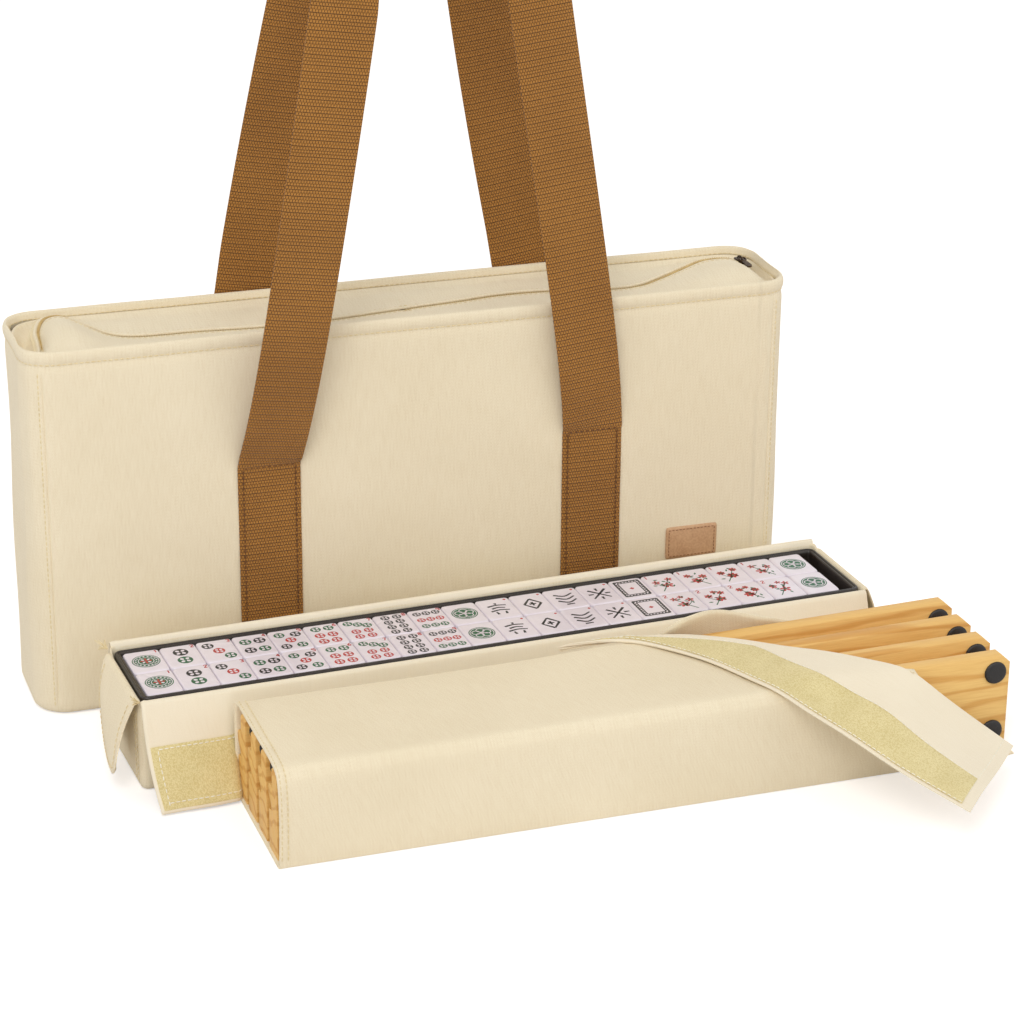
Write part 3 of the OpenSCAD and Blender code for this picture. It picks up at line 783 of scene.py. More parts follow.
@dataclass(frozen=True)
class Grained(Finish):
    """A finish of one hue with noise in its tone, roughness and surface."""

    name: str
    colour: tuple[int, int, int]
    shade: tuple[int, int, int]
    rough: float = 0.5
    metal: float = 0.0
    specular: float = 0.5
    coat: float = 0.0
    grain: float = 400.0
    depth: float = 0.05
    strength: float = 0.3

    def build(self) -> bpy.types.Material:
        """Broad and fine noise on the object's own coordinates.

        Returns:
            The material.
        """
        g = Graph(self.name)
        fine, broad = g.noise(self.grain, detail=4.0), g.noise(self.grain / 12, detail=3.0)
        tone = g.math("ADD", g.math("MULTIPLY", fine, 0.6), g.math("MULTIPLY", broad, 0.4))
        g.bump(fine, self.strength, self.depth * MM)
        g.set(Base_Color=g.ramp(tone, [(0.32, linear(self.shade)), (0.6, linear(self.colour))]),
              Roughness=g.math("ADD", g.math("MULTIPLY", broad, 0.16), self.rough - 0.08),
              Metallic=self.metal, Specular_IOR_Level=self.specular, Coat_Weight=self.coat)
        return g.mat


# The second colour of each weave is painted shade for the hollows between threads, mixed with real thread
# tone.
CANVAS = Weave("tote_canvas", (247, 236, 210), (226, 209, 175), thread=1.1, depth=0.2)
CASE_CANVAS = Weave("case_canvas", (248, 237, 210), (228, 210, 176), thread=1.0, depth=0.2)
LINING = Weave("satin_lining", (246, 236, 214), (236, 223, 196), thread=0.45, depth=0.03,
               rough=0.62, sheen=0.25)
TAPE = Weave("zip_tape", (240, 226, 192), (216, 196, 150), thread=0.5, depth=0.05)
STRAP = Webbing()
LOOPS = Fleece()
HOOKS = Weave("fastening_hooks", (236, 226, 188), (206, 192, 146), thread=0.6, depth=0.25)
PINE = Pine()
CREAM_THREAD = Grained("cream_thread", (238, 222, 180), (208, 186, 136), rough=0.7, grain=1800)
WHITE_THREAD = Grained("white_thread", (250, 246, 234), (232, 224, 200), rough=0.7, grain=1800)
BROWN_THREAD = Grained("brown_thread", (112, 70, 30), (78, 46, 18), rough=0.75, grain=1800)
TAN_THREAD = Grained("patch_thread", (150, 104, 66), (120, 80, 48), rough=0.7, grain=1800)
TEETH = Grained("zip_teeth", (226, 200, 140), (184, 152, 92), rough=0.45, grain=1500)
LEATHER = Grained("patch_leather", (206, 166, 128), (184, 142, 106), rough=0.55, grain=700,
                  depth=0.25, strength=0.5, specular=0.4)
BRONZE = Grained("slider_bronze", (92, 74, 56), (44, 36, 30), rough=0.34, metal=1.0, grain=500)
PLASTIC = Grained("tray_plastic", (46, 38, 32), (30, 25, 21), rough=0.32, grain=900, depth=0.02,
                  specular=0.5)
TILE = Grained("tile_face", (234, 226, 234), (226, 217, 226), rough=0.28, grain=120, depth=0.01,
               specular=0.45, coat=0.15)
INK_BLACK = Grained("black_ink", (42, 44, 48), (26, 28, 32), rough=0.45, grain=900)
INK_GREEN = Grained("green_ink", (46, 106, 74), (30, 84, 56), rough=0.45, grain=900)
INK_RED = Grained("red_ink", (192, 62, 62), (168, 40, 44), rough=0.45, grain=900)
RUBBER = Grained("foot_rubber", (40, 38, 38), (24, 22, 22), rough=0.5, grain=1600, depth=0.12, strength=0.6)
BOARD = Grained("base_board", (196, 176, 138), (170, 148, 108), rough=0.8, grain=300, depth=0.1)


# --- camera, light and floor ---


@dataclass
class Studio:
    """The camera at the photograph's place, a pale floor and soft daylight."""

    eye: tuple[float, float, float] = (-0.50525, -1.71034, 0.82829)
    yaw: float = 18.654
    pitch: float = 22.457
    roll: float = 0.500
    focal_pixels: float = 3039.8
    picture: int = 1024
    world: float = 0.74
    key: float = 21.0
    fill: float = 4.0

    def camera(self) -> None:
        """Sets the scene's camera."""
        data = bpy.data.cameras.new("camera")
        data.sensor_width = 36.0
        data.sensor_fit = "HORIZONTAL"
        data.lens = self.focal_pixels * 36.0 / self.picture
        data.clip_start, data.clip_end = 0.05, 30
        y, p, r = (math.radians(v) for v in (self.yaw, self.pitch, self.roll))
        ahead = Vector((math.sin(y) * math.cos(p), math.cos(y) * math.cos(p), -math.sin(p)))
        right = Vector((math.cos(y), -math.sin(y), 0))
        up = right.cross(ahead)
        side = right * math.cos(r) + up * math.sin(r)
        top = -right * math.sin(r) + up * math.cos(r)
        turn = Matrix((side, top, -ahead)).transposed().to_4x4()
        cam = bpy.data.objects.new("camera", data)
        cam.matrix_world = Matrix.Translation(self.eye) @ turn
        bpy.context.scene.collection.objects.link(cam)
        bpy.context.scene.camera = cam

    def lamp(self, name: str, place: Sequence[float], power: float, size: float) -> None:
        """An area lamp that faces the set.

        Args:
            name: The lamp's name.
            place: Where it hangs, in metres.
            power: Its power in watts.
            size: The disc's size in metres.
        """
        data = bpy.data.lights.new(name, "AREA")
        data.energy, data.shape, data.size = power, "DISK", size
        lamp = bpy.data.objects.new(name, data)
        lamp.location = place
        lamp.rotation_mode = "QUATERNION"
        lamp.rotation_quaternion = (Vector(place) - Vector((0, -0.15, 0.1))).to_track_quat("Z", "Y")
        bpy.context.scene.collection.objects.link(lamp)

    def backdrop(self, tree: bpy.types.NodeTree, shader: Socket, output: Socket) -> None:
        """Puts plain white in front of the camera, glossy and transmission rays.

        Args:
            tree: The world's node tree.
            shader: The socket of the daylight.
            output: The world's surface socket.
        """
        path = tree.nodes.new("ShaderNodeLightPath")
        rays = [path.outputs[n] for n in ("Is Camera Ray", "Is Glossy Ray", "Is Transmission Ray")]
        seen = rays[0]
        for ray in rays[1:]:
            most = tree.nodes.new("ShaderNodeMath")
            most.operation = "MAXIMUM"
            tree.links.new(seen, most.inputs[0])
            tree.links.new(ray, most.inputs[1])
            seen = most.outputs[0]
        white = tree.nodes.new("ShaderNodeBackground")
        white.inputs["Color"].default_value = (1, 1, 1, 1)
        mix = tree.nodes.new("ShaderNodeMixShader")
        tree.links.new(seen, mix.inputs[0])
        tree.links.new(shader, mix.inputs[1])
        tree.links.new(white.outputs[0], mix.inputs[2])
        tree.links.new(mix.outputs[0], output)

    def floor(self) -> None:
        """A pale floor that shows white to the camera and keeps the set's shadow."""
        mesh = bpy.data.meshes.new("floor")
        half, below = 6.0, 0.0002
        corners = [(-half, -half, 0), (half, -half, 0), (half, half, 0), (-half, half, 0)]
        mesh.from_pydata(corners, [], [(0, 1, 2, 3)])
        floor = bpy.data.objects.new("floor", mesh)
        floor.location.z = -below
        bpy.context.scene.collection.objects.link(floor)
        mat = bpy.data.materials.new("floor_paper")
        mat.use_nodes = True
        tree = mat.node_tree
        tree.nodes.clear()
        out = tree.nodes.new("ShaderNodeOutputMaterial")
        paper = tree.nodes.new("ShaderNodeBsdfDiffuse")
        paper.inputs["Color"].default_value = (0.86, 0.84, 0.84, 1)
        glow = tree.nodes.new("ShaderNodeEmission")
        path = tree.nodes.new("ShaderNodeLightPath")
        lift = tree.nodes.new("ShaderNodeMath")
        lift.operation = "MULTIPLY"
        lift.inputs[1].default_value = 0.42
        tree.links.new(path.outputs["Is Camera Ray"], lift.inputs[0])
        tree.links.new(lift.outputs[0], glow.inputs["Strength"])
        both = tree.nodes.new("ShaderNodeAddShader")
        tree.links.new(paper.outputs[0], both.inputs[0])
        tree.links.new(glow.outputs[0], both.inputs[1])
        tree.links.new(both.outputs[0], out.inputs["Surface"])
        mesh.materials.append(mat)

    def build(self) -> None:
        """Makes the studio."""
        scene = bpy.context.scene
        scene.view_settings.view_transform = "Standard"
        self.camera()
        self.floor()
        world = bpy.data.worlds.new("daylight")
        scene.world = world
        world.use_nodes = True
        tree = world.node_tree
        sky = tree.nodes["Background"]
        sky.inputs["Color"].default_value = (1.0, 0.985, 0.96, 1)
        sky.inputs["Strength"].default_value = self.world
        self.backdrop(tree, sky.outputs[0], tree.nodes["World Output"].inputs["Surface"])
        self.lamp("key", (-0.9, -1.7, 2.0), self.key, 1.2)
        self.lamp("fill", (1.6, -1.2, 1.3), self.fill, 1.6)


# --- the tote ---


def declare_sheet(grid: Array,
                  with_pieces: Sequence[bpy.types.Object] = ()) -> None:
    """Measures the lengths along and across a sheet of cloth, and keeps nothing of them.

    Args:
        grid: Points of its middle surface, in millimetres.
        with_pieces: Not used.
    """
    uv = measured_uv(grid)


class Joint(Enum):
    """Pairs of bodies that cloth bends between."""

    FRONT_HANDLE = ("tote", "front_carry_handle")
    BACK_HANDLE = ("tote", "back_carry_handle")
    FRONT_ZIP = ("tote", "front_zip")
    BACK_ZIP = ("tote", "back_zip")
    CASE_FRONT = ("tile_case", "tile_case_front")
    CASE_BACK = ("tile_case", "tile_case_back")
    CASE_LEFT = ("tile_case", "tile_case_left")
    CASE_RIGHT = ("tile_case", "tile_case_right")
    PEEL = ("rack_pouch", "pouch_peel")

    def bend(self, piece: bpy.types.Object, start: Array, end: Array) -> None:
        """Bakes a piece's placement into its points, and bends nothing."""
        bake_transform(piece)


@dataclass
class ToteShell:
    """The canvas walls and base, with a rolled rim, corner seams and stitching."""

    half_w: float = 245.0
    half_d: float = 40.0
    corner: float = 22.0
    height: float = 235.0
    seam_x: float = 232.0
    wall: float = 3.2
    step: float = 4.0
    stitch_in: float = 2.3

    def outline(self) -> tuple[Array, Array, Array, Array]:
        """The plan outline.

        Returns:
            Points, outward normals, distances along the outline, and the four seams' distances.
        """
        a, b, r = self.half_w, self.half_d, self.corner
        points, normals = [], []
        corners = ((a - r, -b + r, -90), (a - r, b - r, 0), (-a + r, b - r, 90), (-a + r, -b + r, 180))
        for cx, cy, start in corners:
            for deg in np.linspace(start, start + 90, 46):
                n = np.array([math.cos(math.radians(deg)), math.sin(math.radians(deg))])
                points.append(np.array([cx, cy]) + n * r)
                normals.append(n)
        points.append(points[0])
        normals.append(normals[0])
        points, normals = np.array(points), np.array(normals)
        s = run_length(points)
        turn = math.degrees(math.asin((self.seam_x - a + r) / r))
        arc = math.radians(turn) * r
        quarter = math.pi * r / 2
        side = 2 * (b - r)
        front = 2 * (a - r)
        seams = np.array([arc, quarter + side + quarter - arc, 2 * quarter + side + front + arc,
                          4 * quarter + 2 * side + front - arc])
        groove = np.array([-2.6, -1.5, -0.9, -0.45, 0, 0.45, 0.9, 1.5, 2.6])
        turns = (0, quarter + side, 2 * quarter + side + front, 3 * quarter + 2 * side + front)
        marks = np.concatenate([np.arange(0, s[-1], self.step), *[m + groove for m in seams],
                                *[np.linspace(k - 4, k + quarter + 4, 22) for k in turns]])
        marks = np.unique(np.round(np.mod(marks, s[-1]), 2))
        keep = [marks[0]]
        for m in marks[1:]:
            if m - keep[-1] > 0.4:
                keep.append(m)
        marks = np.array(keep)
        at = [np.stack([np.interp(marks, s, col) for col in grid.T], 1) for grid in (points, normals)]
        return at[0], unit(at[1]), marks, seams

    def relief(self, xy: Array, s: Array, z: float, seams: Array) -> Array:
        """How far the outer face stands out at a height.

        Args:
            xy: The outline's points.
            s: Their distances along the outline.
            z: The height.
            seams: The seams' distances along the outline.

        Returns:
            A distance for each point: bulges and waves, less a groove at each seam.
        """
        x, y = xy[:, 0], xy[:, 1]
        flat = smooth((self.half_w - self.corner + 8 - np.abs(x)) / 60)
        rise = math.sin(math.pi * min(1, max(0, z) / self.height))
        out = 0.9 * rise * flat
        out += flat * (0.35 * np.sin(x * 0.023 + 1.1 + z * 0.006) * math.sin(z * 0.021 + 0.4)
                       + 0.25 * np.sin(x * 0.061 + z * 0.027) + 0.22 * np.sin(z * 0.083 + x * 0.012))
        end = smooth((np.abs(x) - self.half_w + 6) / 6)
        out += end * (-1.1 + 0.8 * math.sin(z * 0.019 + 0.8) + 0.4 * np.sin(y * 0.11 + z * 0.05))
        low = smooth((226 - z) / 8)
        for k, seam in enumerate(seams):
            d = s - seam
            out -= 0.75 * low * np.exp(-((d / 0.6) ** 2))
            out += 0.3 * low * np.exp(-(((d + (1.6 if k % 2 else -1.6)) / 1.3) ** 2))
        return out * smooth(z / 14)

    def rows(self) -> list[tuple[float, float, bool]]:
        """Rows of the wall's section: offset, height, and whether they are on the outer face.

        Returns:
            Triples of offset, height and side, from the base up over the rim and down inside.
        """
        low = [(-9, 0), (-5, 0.15), (-2.6, 0.9), (-1.1, 2.4), (-0.3, 5), (0, 9)]
        body = [(0, z) for z in np.arange(14, 217, 5.5)]
        rim = [(0, 220), (-0.15, 222.6), (-0.5, 224.4), (-0.72, 225.6), (-0.5, 226.8), (0.1, 228),
               (0.55, 229.5), (0.7, 231.2), (0.6, 232.8), (0.1, 234.1), (-0.7, 234.9), (-1.6, 235)]
        roll = [(-2.5, 234.5), (-3.1, 233.3), (-3.3, 231.6), (-3.6, 230.9), (-3.4, 230.2), (-3.3, 227)]
        inner = [(-self.wall, z) for z in (210, 160, 100, 40, 8, 3.1)]
        return ([(d, z, True) for d, z in low + body + rim]
                + [(d, z, False) for d, z in roll + inner])

    def face_at(self, s_list: Array, z: float, offset: float) -> tuple[Array, Array]:
        """Places on the outer face.

        Args:
            s_list: Distances along the outline.
            z: The height.
            offset: How far outside the face they lie.

        Returns:
            The points and the outward normals.
        """
        xy, n, s, seams = self.plan
        out = self.relief(xy, s, z, seams) + offset
        full = np.column_stack([xy + n * out[:, None], np.full(len(xy), z)])
        p = np.stack([np.interp(s_list, s, full[:, c], period=self.total) for c in range(3)], 1)
        m = np.stack([np.interp(s_list, s, n[:, c], period=self.total) for c in range(2)], 1)
        return p, np.column_stack([unit(m), np.zeros(len(m))])

    def build(self) -> None:
        """Makes the shell, the base board's finish and the seams' stitching."""
        xy, n, s, seams = self.plan = self.outline()
        self.total = 2 * math.pi * self.corner + 4 * (self.half_w + self.half_d - 2 * self.corner)
        rings, uv, run, last = [], [], 0.0, None
        for d, z, outer in self.rows():
            out = self.relief(xy, s, z, seams) * (1.0 if outer else 0.5) + d
            ring = np.column_stack([xy + n * out[:, None], np.full(len(xy), z)])
            if last is not None:
                run += float(np.linalg.norm(ring[0] - last[0]))
            last = ring
            rings.append(ring)
            uv.append(np.column_stack([s * MM, np.full(len(s), run * MM)]))
        count = len(xy)
        faces = grid_faces(len(rings), count, round_cols=True)
        faces.append(tuple(range(count)))
        faces.append(tuple((len(rings) - 1) * count + q for q in range(count)))
        shell = mesh_piece("tote_shell", np.vstack(rings), faces, CANVAS, uv=np.vstack(uv), sharp=70)
        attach(shell, "tote")
        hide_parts("bag_base", "front_panel", "back_panel", "left_end", "right_end", "rim_hem")
        thread = stitch_piece("tote_stitching", self.seam_runs(seams), CREAM_THREAD)
        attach(thread, "tote")
        board = frame["nodes"]["base_board"].data
        board.materials.clear()
        board.materials.append(BOARD.material())

    def seam_runs(self, seams: Array) -> list[tuple[Array, Array]]:
        """Lines of stitches: one beside each corner seam, and one on each face of the rim.

        Args:
            seams: The seams' distances along the outline.

        Returns:
            Pairs of points and outward normals.
        """
        runs = []
        for k, seam in enumerate(seams):
            at = seam + (-self.stitch_in if k % 2 else self.stitch_in)
            line = [self.face_at(np.array([at]), z, 0.05) for z in np.arange(6, 226, 4.0)]
            runs.append((np.vstack([p for p, _ in line]), np.vstack([m for _, m in line])))
        around = np.append(np.arange(0, self.total, 3.0), self.total)
        runs.append(self.face_at(around, 226.9, -0.35))
        points, outward = self.face_at(around, 230.6, -3.55)
        runs.append((points, -outward))
        return runs


@dataclass
class ZipClosure:
    """Two cloth panels that meet at a wandering zip, with teeth, tapes, slider and pull."""

    inner_w: float = 241.4
    inner_d: float = 36.6
    inner_r: float = 18.6
    teeth_from: float = -224.5
    teeth_to: float = 226.5
    tooth_pitch: float = 1.5
    knots: tuple = (
        # zip point, x on the front wall, point on the back wall or the end, sag behind, lift in front
        ((-234, -27, 226), -235.5, (-238, -26), -1, 0),
        ((-226, -16, 226), -230, (-240.5, -14), -4, 1),
        ((-223.5, 2, 226.5), -225, (-241.2, 0), -9, 2.5),
        ((-222.5, 17, 229), -219, (-240.5, 14), -10, 4),
        ((-217, 29, 232), -212, (-234, 30), -5, 5),
        ((-208, 31, 232.5), -205, (-221, 36.5), -1, 5),
        ((-200, 24.5, 230.5), -198, (-206, 36.6), 0, 3),
        ((-192, 15, 228), -191, (-196, 36.6), 0, 1),
        ((-182, 3, 226.3), -181, (-184, 36.6), 0, 0),
        ((-166, -3, 225.5), -166, (-166, 36.6), 0, 0),
        ((-130, -4, 225.3), -130, (-130, 36.6), -0.5, 0),
        ((-90, -8, 225.3), -90, (-90, 36.6), -1, 0),
        ((-49, -7, 225.4), -49, (-49, 36.6), -0.5, 0.3),
        ((-2, -1, 225.5), -2, (-2, 36.6), 0, 0.5),
        ((38, 4, 225.5), 38, (38, 36.6), 0, 0.6),
        ((65, 8, 225.5), 65, (65, 36.6), 0, 0.5),
        ((93, 7, 225.5), 93, (93, 36.6), -0.5, 0.3),
        ((135, -1, 225.5), 135, (135, 36.6), -1, 0),
        ((156, 0, 225.7), 156, (156, 36.6), -1.5, 0),
        ((172, 7, 226.8), 172, (172, 36.6), -2, 0.5),
        ((190, 16, 228.8), 190, (190, 36.6), -2.5, 2),
        ((204, 21.5, 231), 205, (204, 36.6), -2, 3.5),
        ((212.5, 21.5, 232), 213, (215, 36.6), -1, 4),
        ((220.5, 21, 232), 219, (227, 35.6), -1.5, 4),
        ((227, 18, 231), 224, (236, 30), -4, 4),
        ((230.5, 2, 228.5), 228, (241, 12), -6, 2.5),
        ((231.5, -16, 226.5), 231.5, (240.5, -12), -4, 1),
        ((235, -27, 226), 235.5, (238, -26), -1, 0),
    )

    def curves(self, count: int = 300) -> dict[str, Array]:
        """The zip line, both wall lines, the sag and the lift, at matching points.

        Args:
            count: Points on each curve.

        Returns:
            The curves by name.
        """
        zip_at = spline([k[0] for k in self.knots], count, even=False)
        front_x = spline([[k[1], 0] for k in self.knots], count, even=False)[:, 0]
        back = spline([k[2] for k in self.knots], count, even=False)
        bulge = spline([[k[3], k[4]] for k in self.knots], count, even=False)
        over = np.clip(np.abs(front_x) - (self.inner_w - self.inner_r), 0, self.inner_r)
        front_y = -(self.inner_d - self.inner_r) - np.sqrt(self.inner_r**2 - over**2)
        level = np.full(count, 229.6)
        return {"zip": zip_at, "front": np.column_stack([front_x, front_y, level]),
                "back": np.column_stack([back, level]), "sag": bulge[:, 0], "lift": bulge[:, 1]}

    def cloth(self, c: dict[str, Array], wall: str, pick: slice) -> Array:
        """The grid of one half panel, from its wall to the fold beside the zip.

        Args:
            c: The closure's curves.
            wall: Which panel, front or back.
            pick: The points that belong to this half.

        Returns:
            Rows of points from the wall inwards.
        """
        zip_at, edge = c["zip"][pick], c[wall][pick]
        lift = (c["lift"] if wall == "front" else c["sag"])[pick]
        gap = edge - zip_at
        far = np.linalg.norm(gap[:, :2], axis=1)
        stop = np.minimum(2.5 / np.maximum(far, 1e-6), 0.6)
        rows = []
        for t in (0, 0.02, 0.05, 0.1, 0.18, 0.28, 0.4, 0.52, 0.64, 0.76, 0.86, 0.93, 0.97, 1.0):
            share = (1 - t) * (1 - stop) + stop
            row = zip_at + gap * share[:, None]
            dip = np.sin(np.pi * np.clip(t, 0, 1)) ** 1.2
            groove = 1.1 * math.sin(math.pi * min(1, t * 2.2)) ** 2
            row[:, 2] += lift * dip - groove + 0.5 * smooth((t - 0.8) * 5)
            x = row[:, 0]
            row[:, 2] += dip * (0.28 * np.sin(x * 0.071 + t * 2) + 0.2 * np.sin(x * 0.16 + 1 + t * 5))
            rows.append(row)
        return np.stack(rows)

    def band(self, c: dict[str, Array], wall: str, pick: slice) -> Array:
        """The grid of the tape between the fold and the teeth.

        Args:
            c: The closure's curves.
            wall: Which panel, front or back.
            pick: The points that belong to this half.

        Returns:
            Rows of points.
        """
        zip_at, edge = c["zip"][pick], c[wall][pick]
        side = unit((edge - zip_at) * [1, 1, 0])
        section = ((6.0, -1.3), (3.8, -0.6), (2, -0.25), (0.06, -0.2))
        return np.stack([zip_at + side * d + [0, 0, z] for d, z in section])

    def teeth(self, c: dict[str, Array], wall: str, first: float, last: float, shift: float) -> Heap:
        """Teeth along one side of the zip line.

        Args:
            c: The closure's curves.
            wall: Which side, front or back.
            first: The x where they begin.
            last: The x where they end.
            shift: How far the first tooth stands from there.

        Returns:
            The heap of teeth.
        """
        heap = Heap()
        line, edge = c["zip"], c[wall]
        s = run_length(line)
        x_along = line[:, 0]
        begin = s[np.argmax(x_along > first)]
        end = s[len(s) - 1 - np.argmax(x_along[::-1] < last)]
        side_all = unit((edge - line) * [1, 1, 0])
        up = np.array([0, 0, 1.0])
        shape = [(-0.42, -0.35, 0.15), (0.42, -0.35, 0.15), (0.42, 1.75, 0.15), (-0.42, 1.75, 0.15),
                 (-0.26, -0.1, 0.95), (0.26, -0.1, 0.95), (0.26, 1.35, 1.0), (-0.26, 1.35, 1.0)]
        faces = [(0, 3, 2, 1), (4, 5, 6, 7), (0, 1, 5, 4), (1, 2, 6, 5), (2, 3, 7, 6), (3, 0, 4, 7)]
        for at in np.arange(begin + shift, end, self.tooth_pitch):
            p = np.array([np.interp(at, s, line[:, k]) for k in range(3)])
            q = np.array([np.interp(at + 0.4, s, line[:, k]) for k in range(3)])
            side = unit(np.array([np.interp(at, s, side_all[:, k]) for k in range(3)]))
            ahead = unit(q - p)
            pts = np.array([p + ahead * a + side * b + up * (h - 0.12) for a, b, h in shape])
            heap.add((pts, faces))
        return heap

    def half(self, c: dict[str, Array], wall: str, side: str) -> None:
        """Makes one half of one panel, with its tape, teeth and hem stitching.

        Args:
            c: The closure's curves.
            wall: Which panel, front or back.
            side: Which half, left or right.
        """
        count = len(c["zip"])
        middle = int(np.argmax(c["zip"][:, 0] > 0))
        pick = slice(0, middle + 1) if side == "left" else slice(middle, count)
        joint = Joint.FRONT_ZIP if wall == "front" else Joint.BACK_ZIP
        sign = -1 if side == "left" else 1
        centre = 0.2
        first, last = (self.teeth_from, centre) if side == "left" else (centre, self.teeth_to)
        grid = self.cloth(c, wall, pick)
        cloth = cloth_piece(f"{wall}_zip_cloth_{side}", grid, 1.5, CANVAS,
                            hem=0.25, hem_in=3.0, hem_sides="b")
        tape_grid = self.band(c, wall, pick)
        tape = cloth_piece(f"{wall}_zip_tape_{side}", tape_grid, 0.6, TAPE)
        shift = 0.0 if wall == "front" else self.tooth_pitch / 2
        row = self.teeth(c, wall, first, last, shift).piece(f"{wall}_zip_teeth_{side}", TEETH)
        normal = grid_normals(grid)
        normal *= np.sign(normal[..., 2:])
        run = (grid[-3] + normal[-3] * 0.8, normal[-3])
        hem = stitch_piece(f"{wall}_zip_stitching_{side}", [run], CREAM_THREAD, radius=0.25)
        for piece in (cloth, tape, row, hem):
            joint.bend(piece, [sign * 238, 0, 227], [sign * 203, 0, 227])
        declare_sheet(grid, [tape, row, hem])
        declare_sheet(tape_grid)
        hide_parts(f"{wall}_zip_panel", f"{side}_zip_tab")
        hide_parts(f"{wall}_zip_tape", "zip_chain_ends")

    def slider(self) -> None:
        """A bronze slider lying along the zip's end, and its pull with a ring."""
        at, heap = np.array([230.6, 15.5, 231.0]), Heap()
        ahead, side, up = np.array([0.12, -0.99, 0]), np.array([0.99, 0.12, 0]), np.array([0, 0, 1.0])
        half_plan = [(-4.4, -1.5), (-3.4, -2.5), (0, -2.2), (3.2, -3.0), (4.3, -2.4)]
        plan = np.array(half_plan + [(4.5, 0)] + [(u, -v) for u, v in half_plan[::-1]])

        def place(points: Array) -> Array:
            """Points along, across and above the slider, in the model's frame."""
            return at + points[:, :1] * ahead + points[:, 1:2] * side + points[:, 2:3] * up

        for low, high in ((-1.6, -0.8), (1.0, 1.9)):
            pts, faces = prism(plan, low, high)
            heap.add((place(pts), faces))
        pts, faces = prism(plan * [0.3, 0.5] + [2.6, 0], -0.9, 1.1)
        heap.add((place(pts), faces))
        bridge = [(-2.6, 0, 1.7), (-2.2, 0, 2.9), (-0.8, 0, 3.6), (1.0, 0, 3.6), (2.4, 0, 2.8), (2.8, 0, 1.7)]
        heap.add(tube(place(spline(bridge, 14)), 0.55))
        body = heap.piece("zip_slider_body", BRONZE)
        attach(body, "slider")
        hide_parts("zip_slider")
        heap = Heap()
        turn = np.linspace(0, 2 * math.pi, 22, endpoint=False)
        droop = 0.55 * (np.cos(turn) + 1)
        ring = np.column_stack([3.2 + 2.5 * np.cos(turn), 2.3 * np.sin(turn), 3.0 - droop])
        heap.add(tube(place(ring), 0.55, closed=True))
        half_tag = [(5.0, -1.0), (6.0, -1.7), (12.2, -2.0), (13.4, -1.3)]
        tag = half_tag + [(13.8, 0)] + [(u, -v) for u, v in half_tag[::-1]]
        pts, faces = prism(tag, -0.45, 0.45)
        pts[:, 2] += 1.9 - 0.16 * (pts[:, 0] - 5)
        heap.add((place(pts), faces))
        pull = heap.piece("zip_pull_tag", BRONZE)
        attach(pull, "pull")
        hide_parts("zip_pull")

    def build(self) -> None:
        """Makes both panels and the slider."""
        c = self.curves()
        for wall in ("front", "back"):
            for side in ("left", "right"):
                self.half(c, wall, side)
        self.slider()


